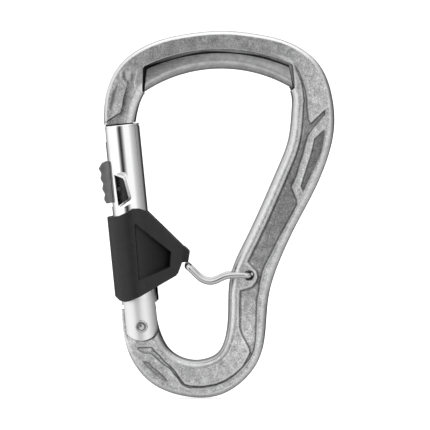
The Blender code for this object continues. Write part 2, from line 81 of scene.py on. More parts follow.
# Forged frame: ribs from the nose, over the bow, down the spine and round the basket to the hinge.
# Each rib is (outer edge x, z, inner edge x, z).
FRAME_RIBS = (
    (-34.6, 27.5, -24.8, 28.45), (-34, 36.5, -23.6, 33.9), (-29.2, 46.6, -20.8, 38.8),
    (-20.9, 52.3, -16.6, 41.5), (-9.8, 55.4, -8, 43.9), (1.6, 56.5, 1.3, 44.8), (13, 55.4, 11, 43.9),
    (24, 52.2, 19.2, 41.4), (31.8, 46, 22.7, 37.9), (35.9, 35, 23.2, 32.3), (35.7, 22.5, 22.2, 23.3),
    (31.5, 10.1, 19.2, 14.9), (25, -2.6, 13.8, 2.4), (19.9, -13.5, 8.8, -8.3), (16.4, -24.2, 4.3, -19.5),
    (15.3, -35, 3.6, -31.8), (11.2, -48.2, 1.1, -42.1), (1.5, -55.7, -3.1, -44.7), (-9.8, -56.2, -7.9, -45),
    (-20.4, -51.8, -13.6, -42.4), (-26.9, -43, -16.9, -37.2), (-28.8, -35.3, -18.2, -32.5),
    (-29.25, -29.5, -18.6, -28.44),
)
STATIONS = 860  # rings along the stock
SIDE_COLUMNS, ROUND_COLUMNS, FACE_COLUMNS, RIM_COLUMNS = 3, 9, 48, 18  # points of half a ring
CORNER_COLUMNS = 4  # of the rim's, for the seat's rounded edge
FACE_HALF = 4.5
FACE_SKIN = 0.02  # room between the face and its full height, for the roughness
RIM_WIDTH = 3.2  # of the rounding beside the rope side
SIDE_HALF = 1.9  # half thickness of the flat outer side
SEAT_ROUNDING = 0.45
RIM_SQUARE = 2.5  # power of the inner rim's superellipse

# Tables along the middle of the stock: distance from the nose in millimetres, then a value.
OUTER_ROUNDING = ((0, 1.1), (62, 1.2), (75, 1.5), (91, 2.1), (151, 2.1), (168, 1.7), (209, 1.4))
RIM_ROLL = ((0, 3.05), (150, 3.05), (163, 2.4), (209, 2.4))  # width of the inner rounding
POCKET_DEPTH = (
    (66, 0.15), (70, 0.35), (80, 0.7), (102, 1.1), (115, 1.3), (150, 1.3), (158, 0.9), (165, 0.7),
    (209, 0.55),
)
# The face falls from its crest to the outer edge: crest as a share of the width, then the slope.
CREST = ((0, 0.35), (15, 0.6), (60, 0.7), (78, 0.62), (100, 0.5), (151, 0.5), (168, 0.75), (209, 0.6))
FALL = ((0, 0.03), (15, 0.09), (55, 0.09), (75, 0.11), (150, 0.11), (209, 0.10))
CREST_ROUNDING, CREST_LIFT = 0.6, 0.054  # how softly the slope sets in
# Shading: how much duller and darker by painted shade the pocket's floor is, how far the edges are rubbed,
# then the painted light and shade of the face, of the outer side and of the inner rounding.
HOLLOWS = ((66, 0.5), (80, 0.62), (115, 0.78), (130, 0.6), (140, 0.35), (152, 0), (209, 0.05))
RUBBED = ((0, 0.9), (62, 0.9), (80, 0.45), (209, 0.45))
FACE_PAINTED_LIGHT = (
    (0, 1), (14, 0.92), (23, 0.61), (60, 0.66), (75, 0.98), (95, 1.05), (145, 1.05), (155, 1.22),
    (165, 1.05), (190, 0.95), (203, 1.02), (209, 1.1),
)
SIDE_PAINTED_LIGHT = ((0, 1), (66, 1), (80, 0.4), (91, 0.34), (180, 0.36), (193, 0.75), (201, 1.2), (209, 1.3))
RIM_PAINTED_LIGHT = ((0, 1.05), (150, 1.1), (165, 0.85), (209, 0.85))
# Painted shade that darkens the inner rounding towards the inner edge:
RIM_SHADE = ((0, 1), (0.45, 1), (0.6, 0.5), (1, 0.35))  # by the share of the way over the rim
# Painted highlight on the seat's rounded edge, then painted shade down in the joint under the insert:
SEAT_SHADE = ((0, 1.5), (1, 1.5), (3, 0.5), (4, 0.06), (18, 0.04))  # by column of the seat
RIM_REACH = (40, 152)  # where the pocket keeps RIM_WIDTH from the rope side
HIGHLIGHT_START = 56  # of the painted highlight beside the insert's end, given as wear and brightness
CREASE_START, CREASE_END = 152, 203  # of the crease beside the inner rounding of the basket
EAR_FLAT_START, EAR_FLAT_WIDTH = 197, 3.6  # of the flat that is sunk for the gate's ears

# Steel insert: arcs as (centre x, z, radius).
SEAT_ARC = (1.2, -3.3, 53.3)
ROPE_ARC = (1.5, 2.1, 42.7)
SEAT_REACH = (-21.6, 22.6)
ROPE_REACH = (-22.3, 23.8)
SEAT_GAP = 0.85  # the joint along the insert's top edge
END_GAP = 0.4  # the joint at the two low ends
END_RISE = (-0.1, -0.3)  # height of those ends of the seat against the insert's
SEAT_CORNER = 0.8  # how far before and after a corner its rounding starts
SEAT_FOOT = (1.4, 0.45)  # how far the seat's end runs back and down to the rope side
INSERT_HALF = 4.4
INSERT_TRIM = 0.1  # left off both ends of its top edge
INSERT_LEAN = 0.35  # how far its face leans back towards the top edge
INSERT_EDGE, INSERT_ROLL, INSERT_END = 0.4, 2.7, 0.3  # roundings: top edge, rope side and ends
INSERT_JOINT_SHADE = ((0, 0.05), (7, 0.05), (8, 0.5), (15, 1))  # painted joint shade, by point of a section
# Rib that fills the seat's middle: half thickness and height, feet on the spine and nose sides, and its reach
# along the rope side and depth below it.
RIB_HALF, RIB_HEIGHT = 1.3, 0.9
RIB_FEET = (((24.6, 38.3), (23, 37.95)), ((-22.2, 37.6), (-23.1, 37.5)))
RIB_LOW, RIB_DEPTH = (22.3, -21.9), 0.2

# Pocket down the spine and groove round the basket, one outline.
POCKET = (
    (23.6, 47), (24.9, 45.5), (26, 43.6), (26.9, 40.9), (27.7, 38.5), (28.1, 35.8), (28.3, 33.1),
    (28.6, 29.6), (29.1, 28.5), (33.6, 32.8), (33.8, 32), (33.6, 30.6), (29.7, 26), (28.4, 24), (27.6, 21),
    (26.9, 18), (25.9, 15.1), (25.1, 12.1), (23.5, 8.6), (25.1, 4.6), (25.2, 3), (22.3, -2.4), (19, -8.4),
    (17, -12.5), (15.5, -15.2), (14.5, -17.7), (13.9, -20.4), (13.5, -23.2), (12.9, -26.3), (12.6, -34.2),
    (12.5, -38.5), (11.9, -42.1), (10.6, -44.7), (8.5, -47.3), (6.3, -49.5), (3.3, -51.7), (-0.1, -53.1),
    (-4.1, -53.8), (-8.4, -53.8), (-10.7, -52.8), (-12, -50.8), (-13.2, -49.4), (-14.4, -47.8),
    (-16.6, -46.4), (-18.8, -44.4), (-20.1, -43.2), (-22.3, -43), (-23.4, -42.5), (-24.5, -41.7),
    (-24.3, -40.7), (-19.8, -40.6), (-18.7, -41.9), (-17.3, -43.1), (-15.6, -45.2), (-14, -46.4),
    (-12.4, -48.2), (-11, -50.3), (-9.6, -52.1), (-7.8, -52.6), (-4.1, -52.7), (-0.2, -52), (2.3, -51),
    (5.3, -49.1), (7.7, -46.9), (9.2, -44.4), (10.1, -42.5), (9.8, -41.3), (9, -39.7), (7.7, -37.3),
    (6.9, -35.1), (6.9, -31), (5.5, -20), (10, -9), (14.5, 2), (20, 14), (23.5, 24), (25, 30), (26.7, 34.9),
    (26.3, 38.5), (25.8, 41.1), (24.5, 44),
)
BOSS = (
    (9.5, -14.9), (11, -16.4), (12.2, -17.7), (12.5, -19.1), (12, -20.6), (10.8, -22), (9.1, -22.6),
    (7.3, -23.1), (4, -23), (5.5, -14),
)
SIDE_PANEL = (
    (33.4, 26.6), (33.5, 25.2), (33.3, 23.5), (32.8, 20.4), (31.8, 17.4), (30.4, 14.5), (29, 11.5),
    (27.8, 8.9), (26.7, 6.6), (25.8, 8.8), (26.6, 11.5), (27.6, 14.5), (28.4, 17), (29.2, 19.8), (30, 23.5),
)
BASKET_RECESS = (
    (-22.6, -45.2), (-20.8, -45.6), (-19.5, -47.1), (-17.7, -48.4), (-16.2, -49.9), (-15, -51.4),
    (-15.9, -51.4), (-17.7, -50.2), (-19.8, -48.4), (-21.5, -46.8),
)
NOSE_STEP = (
    (-27.1, 42.8), (-27.4, 40), (-28.2, 37.3), (-28.7, 35.1), (-29.2, 32.5), (-29.5, 31.5), (-31.4, 30.3),
    (-33.5, 28.9), (-34.8, 26), (-23, 26), (-24, 36), (-25.3, 42.5),
)
NOSE_DENTS = (
    ((-30.5, 40.5), (-30.1, 39.4), (-30.6, 37.3), (-31.3, 34.8), (-32, 32), (-33.1, 31.7), (-33, 34.2),
     (-32.2, 37.4)),
    ((-28.9, 44.5), (-27.8, 44.2), (-27.7, 42.8), (-27.2, 41), (-27.4, 40.2), (-28.3, 41), (-29.2, 42.1)),
    ((-26.1, 44.1), (-25.1, 43.1), (-25.4, 41.1), (-26.4, 40.2), (-26.7, 41.6)),
)
# Line down the nose along which a painted highlight lies.
NOSE_HIGHLIGHT = ((-24.2, 43.6), (-25, 39.8), (-25.9, 36.7), (-26.2, 33.6))
# The nose step's floor rises from its foot: x and z of the foot, its lean, and the width of the slope.
NOSE_FOOT = (-28.2, 37, 0.22, 3.6)
NOSE_DEPTH = ((28, 1.4), (31, 1.3), (34, 1.15), (38, 0.95), (41, 0.6), (43, 0))  # by height
TONGUE_HALF = 2.2
BOSS_BORE = (1.45, 1.15, 0.5)  # radius at the face, radius further in, and the depth between them
BOSS_SINK = 0.1  # of the face round the bore

# Key on the nose: half thickness, inner side across, low end and high end along the gate.
KEY_STEM = (1, 3.5, 60.9, 66)
KEY_HEAD = (1.5, 1.5, 58.2, 61)
KEY_OUTER = -4.9  # its outer side
KEY_SLOTS = ((KEY_STEM[0], (60, 66)), (KEY_HEAD[0], (57.4, 61.3)))  # half thickness of the key, reach along
SLOT_GAP, SLOT_DEPTH = 0.3, -1

# Gate.
GATE_TOP = 62.38
GATE_EDGE = 0.32  # rounding of the rim
RIM_GROOVE = (0.75, 0.46, 0.3, 0.06)  # low and high edge from the top, depth, and run of its sides
TUBE_RADIUS = 5.45
BORE_RADIUS = 4.1
BORE_EDGE = 0.15
TUBE_BOTTOM = -5
TUBE_SOFTNESS = 0.16
EAR_INSIDE = 2.5
EAR_TOP = 6.9
EAR_ARC = (1.6, 6)  # height of the centre above the rivet, and radius
GATE_OPENING = radians(20)
RUNNING_GAP = 0.35
# Room that the frame leaves for the ears: outer wall across, gap round them, and reach along the gate.
EAR_WALL, EAR_GAP = 4.87, 0.15
RELIEF_LOW, RELIEF_TOP = 0.5, 14
RIVET_RADIUS = 1.5
RIVET_GAP, RIVET_EAR_GAP, PIN_GAP = 0.1, 0.12, 0.1  # gaps round pins: rivet in the tongue and ears, others
RIVET_HEAD = (1.9, 5.5, 6.25)  # radius, start and end from the mid-plane
# The head from its middle outwards: radius, and depth below the top of the head.
RIVET_DISH = ((0.05, 0.5), (0.3, 0.52), (0.55, 0.62), (0.75, 0.66), (1, 0.5), (1.25, 0.16), (1.42, 0))
RIVET_EDGE, RIVET_STEP = 0.45, 0.05  # height of the rounded edge and of the step under the head
DIVIDER_ALONG, DIVIDER_RADIUS = 20.3, 1.25
WINDOW = ((-3.75, 47.3), (-1.1, 45.9), (-0.85, 45.2), (0, 39.9), (-0.25, 39.5), (-3.4, 37.6))
WINDOW_EDGE = ((-4.6, 49.2), (-0.15, 47.75), (0.75, 45.9), (2.1, 39.2), (1.6, 38.5), (-4.6, 35.7))
WINDOW_DEPTH = -0.5
# Steps from the window to its edge: share of the way, then y.
WINDOW_STEPS = ((-0.15, -4.2), (0, -4.42), (0.4, -4.62), (0.5, -4.85), (0.93, -5.25), (1, -6.3))

# Slide lock.
THUMB_INNER = -5.8
THUMB_HALF = 2.6
THUMB_LIPS = -4.9  # reach of the lips that follow the tube
THUMB_SPAN = (38.6, 51.6)
THUMB_CREST = ((-7.3, 0.5), (-8.4, 2))  # across, and below the top
THUMB_HEEL = -7.1
THUMB_SOFTNESS, NECK_SOFTNESS = 0.35, 0.2
GRIP = (-8.1, 0.075, 0.22, 3.2)  # across, lean, and depth and spacing of the waves
GRIP_ENDS = (0.5, 0.6)  # left plain at the bottom and below the peak
LIP_INSET, LIP_OVERLAP, NECK_OVERLAP = 0.1, 0.4, 0.6
SADDLE_GAP, SADDLE_PAST = 0.1, 2  # gap to the tube, and how far the cutter reaches past both ends
NECK_HALF = 1.3
NECK_SPAN = (41.2, 48.6)
NECK_TIP = -1.2
SLIDER_PIN = (-2.6, 42.7, 0.7)

# Plastic sleeve with its wing.
SLEEVE_OUTER = 7.3
SLEEVE_BORE, SLEEVE_SHAVE = 5.8, 0.01  # radius of the bore, and how much less is cut out of the wing
SLEEVE_SPAN = (6.6, 37.5)
INSIDE_SPAN = (-2, 42.5)  # of the cutter for the bore
SLEEVE_TOP = (
    (-9, 34.4), (-3.8, 34.5), (-1.4, 35.4), (1.1, 36.4), (3, 36.3), (5, 35.3), (15.3, 23.1), (15.3, 42),
    (-9, 42),
)
# The foot on the front half and on the back half, which overlap.
FOOT_OVERLAP = -0.2
FRONT_FOOT = (
    (-9, 10.6), (-7.1, 9.7), (-5.9, 8.5), (-4.4, 8), (-2.8, 8.2), (0.4, 9.2), (9, 13.05), (9, 0), (-9, 0),
)
BACK_FOOT = (
    (-9, 10.6), (-7.1, 9.7), (-5.9, 8.5), (-4.4, 7.4), (-2.8, 7), (5.5, 6.9), (9, 10.4), (9, 0), (-9, 0),
)
TAIL = (6, -0.5, 11.9)  # cut away beyond this: across, y and along
WING = (
    (0.4, 9.2), (12.2, 14.5), (12.9, 15.2), (14.2, 17.9), (14.6, 19), (15.2, 24), (5.4, 36), (3, 37),
    (0.4, 37),
)
WING_HALF = (6.8, 4.9, 15.2)  # half thickness at the tube and at the tip, and the distance across between
HOOK = ((13.2, 19.3), (14.4, 18.3), (16.3, 18.2), (17.1, 21.3), (16.3, 22.4), (14.4, 24))
HOOK_HALF = 3.5
RECESS = ((0.7, 14.3), (10.5, 17.4), (11.3, 22), (1.1, 32))
RECESS_DEPTH = 3.3
RECESS_SHADE_DEPTHS = (0.5, 3.4)  # depths at which its painted shade starts and is darkest
# The part of the recess under painted shade: axis on the gate, where it starts and where it is full.
RECESS_SHADE_SPANS = (("X", 0.8, 1.6), ("X", 12, 11.4), ("Z", 14, 15), ("Z", 33, 32))
SLEEVE_VOXEL, SLEEVE_PASSES = 0.14, 6

# Wire bar, relative to the plane of the frame.
WIRE_RADIUS = 0.88
WIRE_HALF = 5.5  # from the plane of the frame to the middle of each leg
WIRE_ROUTE = (
    (10.1, -18.7), (6.1, -18.6), (2.7, -19.1), (-1.3, -20.65), (-4.1, -20.1), (-7.2, -17.45), (-8.9, -15.9),
)
WIRE_BEND = 1.3
WIRE_END_GAP = 0.5

# Studio. Brightness near the horizon: turn from the front towards the spine side in degrees, then level.
STUDIO_BAND = (
    (-180, 0.4), (-160, 0.4), (-142, 1), (-40, 1.15), (-32, 0.5), (-24, 0.12), (-19, 0.04), (-12, 0.04),
    (-6, 0.2), (3, 0.6), (12, 1.05), (42, 1.05), (55, 0.74), (70, 0.55), (87, 0.41), (110, 0.32),
    (120, 0.26), (132, 0.06), (152, 0.1), (170, 0.2), (180, 0.25),
)
# Above and below that band: height on the unit sphere, then level; and the share that the band has there.
STUDIO_RISE = ((-1, 0.6), (-0.8, 0.75), (-0.4, 1), (-0.2, 1), (0.3, 0.8), (0.6, 1.2), (1, 1.5))
STUDIO_SHARE = ((-1, 0), (-0.34, 0), (-0.16, 1), (0.4, 1), (0.65, 0), (1, 0))
# Low down behind the object the studio is darker: by y, by z, and by how much.
STUDIO_BEHIND = ((-1, 0), (0.25, 0), (0.8, 1), (1, 1))
STUDIO_BELOW = ((-1, 1), (-0.05, 1), (0.1, 0), (1, 0))
STUDIO_DIM = 0.8
FLOOR_DROP, FLOOR_REACH = 0.4, 60000  # gap below the object, and half size
FLOOR_GLOW = 0.8

# Camera: height above the horizon, distance to the object, and the width of what it sees there.
CAMERA_RISE = radians(3)
CAMERA_DISTANCE = 1400
CAMERA_FIELD = 132.7
CAMERA_AIM = (-0.37, 0, -0.31)


# ---- curves and fields

def spline(knots, values, at):
    """A natural cubic spline through values (one row per knot), read at the parameters in at."""
    count = len(knots)
    gaps = np.diff(knots)
    system = np.eye(count)
    right = np.zeros_like(values)
    for i in range(1, count - 1):
        system[i, i - 1:i + 2] = gaps[i - 1], 2 * (gaps[i - 1] + gaps[i]), gaps[i]
        right[i] = 6 * ((values[i + 1] - values[i]) / gaps[i] - (values[i] - values[i - 1]) / gaps[i - 1])
    bend = np.linalg.solve(system, right)
    i = np.clip(np.searchsorted(knots, at) - 1, 0, count - 2)
    left = (at - knots[i])[:, None]
    rest = (knots[i + 1] - at)[:, None]
    gap = gaps[i][:, None]
    curved = (bend[i] * rest ** 3 + bend[i + 1] * left ** 3) / (6 * gap)
    straight = (values[i] / gap - bend[i] * gap / 6) * rest
    straight += (values[i + 1] / gap - bend[i + 1] * gap / 6) * left
    return curved + straight


def run_length(points):
    """The distance along a list of points to each of them."""
    steps = np.linalg.norm(np.diff(points, axis=0), axis=1)
    return np.concatenate(([0], np.cumsum(steps)))


def resample(points, at):
    """Points at distances along a list of points, given as shares of its length."""
    run = run_length(points)
    return np.column_stack([np.interp(at * run[-1], run, values) for values in np.transpose(points)])


def table(pairs, at):
    """The value of a table of (place, value) pairs at a place or an array of them."""
    knots, values = zip(*pairs)
    return np.interp(at, knots, values)


def ease(value):
    """0 below 0, 1 above 1 and a smooth rise between."""
    held = np.clip(value, 0, 1)
    return held * held * (3 - 2 * held)


def slope(distance, run, height=1, start=0):
    """A smooth rise to a height over a run, from start before the place where the distance is 0."""
    return height * ease((distance + start) / run)


def bell(distance, middle, width, height=1):
    """A height at the middle that falls to 0 on both sides of it."""
    return height * np.exp(-((distance - middle) / width) ** 2)


def quarter(count):
    """Angles from 0 to a right angle."""
    return np.linspace(0, pi / 2, count)


def arc_height(arc, x):
    centre_x, centre_z, radius = arc
    return centre_z + sqrt(radius ** 2 - (x - centre_x) ** 2)


def edge_distance(points, starts, ends):
    """Distance from each point to the nearest of many straight edges."""
    flat = points.reshape(-1, 2)
    nearest = np.empty(len(flat))
    step = ends - starts
    size = np.maximum((step ** 2).sum(1), 1e-12)
    batch = 4000
    for low in range(0, len(flat), batch):
        offset = flat[low:low + batch, None] - starts[None]
        share = np.clip((offset * step).sum(2) / size, 0, 1)
        nearest[low:low + batch] = np.linalg.norm(offset - share[..., None] * step, axis=2).min(1)
    return nearest.reshape(points.shape[:-1])


def inside_by(points, outline):
    """Distance from each point to a closed outline, positive inside it."""
    starts = np.array(outline)
    ends = np.roll(starts, -1, axis=0)
    x, z = points[..., :1], points[..., 1:]
    rise = np.where(ends[:, 1] == starts[:, 1], 1e-12, ends[:, 1] - starts[:, 1])
    at = starts[:, 0] + (z - starts[:, 1]) * (ends[:, 0] - starts[:, 0]) / rise
    crossed = ((starts[:, 1] > z) != (ends[:, 1] > z)) & (x < at)
    sign = np.where(crossed.sum(-1) % 2 == 1, 1, -1)
    return sign * edge_distance(points, starts, ends)


def grain(points, size, octaves):
    """Smooth noise between about -1 and 1 over points in the plane of the frame."""
    values = [noise.fractal((x / size, 0.37, z / size), 1, 2, octaves) for x, z in points.reshape(-1, 2)]
    return np.reshape(values, points.shape[:-1])


def to_world(across, along):
    """A place in the gate's own frame, in the plane of the frame."""
    sine, cosine = sin(GATE_TILT), cos(GATE_TILT)
    return HINGE[0] + across * cosine - along * sine, HINGE[1] + across * sine + along * cosine


def to_gate(x, z):
    """A place in the plane of the frame, in the gate's own frame."""
    x, z = x - HINGE[0], z - HINGE[1]
    sine, cosine = sin(GATE_TILT), cos(GATE_TILT)
    return x * cosine + z * sine, z * cosine - x * sine


# ---- meshes

def add_object(name, data):
    made = bpy.data.objects.new(name, data)
    bpy.context.scene.collection.objects.link(made)
    return made


def solid(name, verts, faces, on_gate=False):
    """An object from vertices in millimetres; those on the gate are given as (across, y, along)."""
    verts = np.array(verts, float)
    if on_gate:
        x, z = to_world(verts[:, 0], verts[:, 2])
        verts = np.column_stack((x, verts[:, 1], z))
    mesh = bpy.data.meshes.new(name)
    mesh.from_pydata((verts * MM).tolist(), [], faces)
    work = bmesh.new()
    work.from_mesh(mesh)
    bmesh.ops.recalc_face_normals(work, faces=work.faces)
    work.to_mesh(mesh)
    work.free()
    return add_object(name, mesh)


def skin(name, rings, looped=False, on_gate=False):
    """Rings of equal point counts joined side by side, with flat caps or joined end to end."""
    rows, size = len(rings), len(rings[0])
    verts = [tuple(point) for ring in rings for point in ring]
    faces = []
    for i in range(rows if looped else rows - 1):
        here, there = i * size, (i + 1) % rows * size
        for j in range(size):
            k = (j + 1) % size
            faces.append((here + j, here + k, there + k, there + j))
    if not looped:
        faces.append(tuple(range(size)))
        faces.append(tuple(range(len(verts) - size, len(verts))))
    return solid(name, verts, faces, on_gate)


def slab(name, outline, front, back, on_gate=False):
    """An outline in x and z between two faces, whose y may depend on x."""
    rings = [[(x, side(x) if callable(side) else side, z) for x, z in outline] for side in (front, back)]
    return skin(name, rings, on_gate=on_gate)


def mirrored(profile):
    """A profile of (radius, y) points from the front to the mid-plane, and on to the back."""
    return [*profile, *((radius, -y) for radius, y in reversed(profile))]


def box(name, across, y, along, on_gate=False):
    (left, right), (low, high) = across, along
    return slab(name, ((left, low), (right, low), (right, high), (left, high)), *y, on_gate)


def circle(radius, segments, centre=(0, 0)):
    turns = [2 * pi * i / segments for i in range(segments)]
    return [(centre[0] + radius * cos(t), centre[1] + radius * sin(t)) for t in turns]


def turned(name, profile, segments, ring=False):
    """A profile of (radius, height) points turned about the gate's axis; a ring has no end caps."""
    rings = [[(x, y, height) for x, y in circle(radius, segments)] for radius, height in profile]
    return skin(name, rings, ring, True)


def pin(name, profile, centre, segments, on_gate=False):
    """A profile of (radius, y) points turned about a line along y through a point."""
    rings = [[(x, y, z) for x, z in circle(radius, segments, centre)] for radius, y in profile]
    return skin(name, rings, on_gate=on_gate)


def bore(name, centre, radius, on_gate=False):
    """A cutter for a round hole along y."""
    return pin(name, [(radius, y) for y in THROUGH], centre, 48, on_gate)


def pipe(name, route, radius, sides):
    """A round wire along a route of three-dimensional points, with flat ends."""
    route = np.array(route)
    heading = np.gradient(route, axis=0)
    heading /= np.linalg.norm(heading, axis=1)[:, None]
    side = np.cross(heading[0], (0.3, 0.2, 1))
    rings = []
    for point, ahead in zip(route, heading):
        side = side - ahead * np.dot(side, ahead)
        side /= np.linalg.norm(side)
        other = np.cross(ahead, side)
        rings.append([tuple(point + radius * (c * side + s * other)) for c, s in circle(1, sides)])
    return skin(name, rings)


def modify(thing, *steps):
    """Replaces an object's mesh with what modifiers make of it, each given as its kind and its settings."""
    for kind, settings in steps:
        step = thing.modifiers.new(kind, kind)
        for name, value in settings.items():
            setattr(step, name, value)
    view = bpy.context.evaluated_depsgraph_get()
    made = bpy.data.meshes.new_from_object(thing.evaluated_get(view))
    old = thing.data
    thing.modifiers.clear()
    thing.data = made
    bpy.data.meshes.remove(old)


def combine(target, tool, operation="DIFFERENCE"):
    """A Boolean of target with tool, which is used up."""
    modify(target, ("BOOLEAN", {"operation": operation, "solver": "EXACT", "object": tool}))
    bpy.data.objects.remove(tool, do_unlink=True)


def soften(thing, width, segments, angle=35):
    """Rounds the edges sharper than an angle."""
    modify(thing, ("BEVEL", {"width": width * MM, "segments": segments, "limit_method": "ANGLE",
                             "angle_limit": radians(angle)}))


def remould(thing, voxel, passes):
    """One closed skin over the whole piece, smoothed so that its edges round off as moulding leaves them."""
    modify(thing, ("REMESH", {"mode": "VOXEL", "voxel_size": voxel * MM}),
           ("SMOOTH", {"factor": 0.5, "iterations": passes}))


def paint(thing, name, values):
    """Stores one value per vertex, for a finish to read."""
    layer = thing.data.attributes.new(name, "FLOAT", "POINT")
    layer.data.foreach_set("value", np.asarray(values, np.float32).ravel())


def dress(thing, finish, body, slot, *nodes, sharp=35):
    """Shades a piece, gives it its finish, lets it ride on its body and stand for its CAD nodes."""
    thing.data.materials.clear()
    thing.data.materials.append(finish)
    thing.data.shade_smooth()
    if sharp:
        thing.data.set_sharp_from_angle(angle=radians(sharp))
    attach(thing, body)
    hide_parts(*nodes)


# ---- finishes

class Nodes:
    """A node tree, with short calls for the nodes that the finishes and the studio are made of."""

    def __init__(self, tree):
        self.tree = tree

    def feed(self, socket, value):
        """Links another node's output to a socket, or gives the socket a plain value."""
        if isinstance(value, bpy.types.NodeSocket):
            self.tree.links.new(value, socket)
        else:
            socket.default_value = value

    def node(self, kind, inputs, **properties):
        made = self.tree.nodes.new(kind)
        for name, value in properties.items():
            setattr(made, name, value)
        for name, value in inputs.items():
            self.feed(made.inputs[name], value)
        return made.outputs

    def calc(self, operation, first, second=0):
        return self.node("ShaderNodeMath", {0: first, 1: second}, operation=operation)["Value"]

    def times(self, first, second):
        return self.calc("MULTIPLY", first, second)

    def split(self, vector):
        return self.node("ShaderNodeSeparateXYZ", {"Vector": vector})


class Finish(Nodes):
    """A procedural material round one shader."""

    def __init__(self, name, colour, metallic, roughness):
        self.material = bpy.data.materials.new(name)
        self.material.use_nodes = True
        super().__init__(self.material.node_tree)
        self.sockets = self.tree.nodes["Principled BSDF"].inputs
        self.colour = colour
        self.sockets["Base Color"].default_value = (*colour, 1)
        self.sockets["Metallic"].default_value = metallic
        self.sockets["Roughness"].default_value = roughness
        self.place = self.node("ShaderNodeTexCoord", {})["Object"]

    def mapped(self, scale=(1, 1, 1), turn=0, shift=(0, 0, 0)):
        """The object's coordinates scaled per axis, turned about y and shifted."""
        inputs = {"Vector": self.place, "Scale": scale, "Rotation": (0, turn, 0), "Location": shift}
        return self.node("ShaderNodeMapping", inputs)["Vector"]

    def noise(self, size, detail=2, vector=None, roughness=0.5):
        """Noise whose blotches are about size millimetres across."""
        inputs = {"Vector": vector or self.place, "Scale": 1 / (size * MM), "Detail": detail,
                  "Roughness": roughness}
        return self.node("ShaderNodeTexNoise", inputs)["Fac"]

    def spread(self, value, low, high, to_low, to_high):
        """A value mapped from one range to another and held inside it."""
        inputs = {"Value": value, "From Min": low, "From Max": high, "To Min": to_low, "To Max": to_high}
        return self.node("ShaderNodeMapRange", inputs)["Result"]

    def vary(self, noise_value, low, high):
        """Noise, which lies mostly between 0.3 and 0.7, mapped to another range."""
        return self.spread(noise_value, 0.3, 0.7, low, high)

    def mix(self, factor, first, second):
        return self.node("ShaderNodeMix", {"Factor": factor, "A": first, "B": second})["Result"]

    def attribute(self, name):
        return self.node("ShaderNodeAttribute", {}, attribute_name=name)["Fac"]

    def tint(self, factor):
        """The base colour multiplied by a factor."""
        scaled = self.node("ShaderNodeVectorMath", {0: self.colour, "Scale": factor}, operation="SCALE")
        self.feed(self.sockets["Base Color"], scaled["Vector"])

    def rough(self, value):
        self.feed(self.sockets["Roughness"], value)

    def bump(self, height, depth):
        """Surface relief, depth millimetres for a height of 1."""
        inputs = {"Height": height, "Strength": 1, "Distance": depth * MM}
        self.feed(self.sockets["Normal"], self.node("ShaderNodeBump", inputs)["Normal"])


def forged_aluminium():
    """Tumbled forging: mottled matt skin, duller hollows, rounded edges worn brighter, painted light, shade
    and highlights.
    """
    finish = Finish("forged_aluminium", (0.62, 0.62, 0.625), 1, 0.4)
    blotch = finish.vary(finish.noise(1.8, 4, roughness=0.62), 0.68, 1.22)
    speck = finish.vary(finish.noise(0.45), 0.74, 1.25)
    # Hollows are duller and carry painted shade, through the hollow attribute.
    hollow = finish.spread(finish.attribute("hollow"), 0, 1, 1, 0.3)
    # Worn edges turn brighter and smoother; painted highlights along ridges come in the same way.
    rubbed_and_highlight = finish.attribute("rubbed_and_highlight")
    shade = finish.mix(rubbed_and_highlight, finish.times(finish.times(blotch, speck), hollow), 1.18)
    # Painted light and shade along the frame, read from the brightness attribute.
    finish.tint(finish.times(shade, finish.attribute("brightness")))
    matt = finish.vary(finish.noise(1.1), 0.36, 0.50)
    finish.rough(finish.calc("ADD", matt, finish.spread(rubbed_and_highlight, 0, 1, 0, -0.14)))
    relief = finish.calc("ADD", finish.noise(0.9, 3), finish.noise(0.3))
    finish.bump(finish.times(relief, finish.spread(rubbed_and_highlight, 0, 0.6, 1, 0.12)), 0.1)
    return finish.material


def insert_steel():
    """Ground steel, with painted shade inside the joint where it meets the frame."""
    finish = Finish("insert_steel", (0.54, 0.54, 0.545), 1, 0.3)
    drawn = finish.noise(0.35, vector=finish.mapped((0.15, 1, 1)))
    # Painted shade in the joint along the top edge, from the open attribute.
    joint = finish.spread(finish.attribute("open"), 0, 1, 0.03, 1)
    finish.tint(finish.times(finish.vary(finish.noise(1.6, 3), 0.8, 1.12), joint))
    finish.rough(finish.vary(drawn, 0.26, 0.36))
    finish.bump(drawn, 0.006)
    return finish.material


def drawn_marks(finish, size):
    """Faint marks along the gate."""
    return finish.noise(size, vector=finish.mapped((1, 1, 0.08), GATE_TILT))


def gate_polish():
    """Bright on the barrel, satin round the hinge where the ears are milled."""
    finish = Finish("gate_polish", (0.93, 0.93, 0.935), 1, 0.09)
    marks = drawn_marks(finish, 0.5)
    satin = finish.spread(finish.split(finish.place)["Z"], -22 * MM, -26 * MM, 0, 1)
    finish.rough(finish.mix(satin, finish.vary(marks, 0.07, 0.12), 0.45))
    finish.tint(finish.mix(satin, finish.vary(finish.noise(5, 3), 0.97, 1), 0.97))
    finish.bump(marks, 0.0012)
    return finish.material


# Plain finishes. Marks: size, least and most roughness as shares, relief. Blotches: size, least, most.
DRAWN = ((0.3, 0.8, 1.3, 0.0012), (5, 0.97, 1))
TURNED = ((0.25, 0.85, 1.2, 0.003), (1.5, 0.9, 1.05))
SATIN = ((0.22, 0.9, 1.15, 0.006), (2, 0.88, 1.1))


def plain_finish(kind, name, colour, roughness, metallic=1):
    finish = Finish(name, colour, metallic, roughness)
    (size, least, most, relief), (blotch, dark, light) = kind
    marks = drawn_marks(finish, size) if kind is DRAWN else finish.noise(size)
    finish.rough(finish.vary(marks, roughness * least, roughness * most))
    finish.tint(finish.vary(finish.noise(blotch, 3), dark, light))
    finish.bump(marks, relief)
    return finish.material


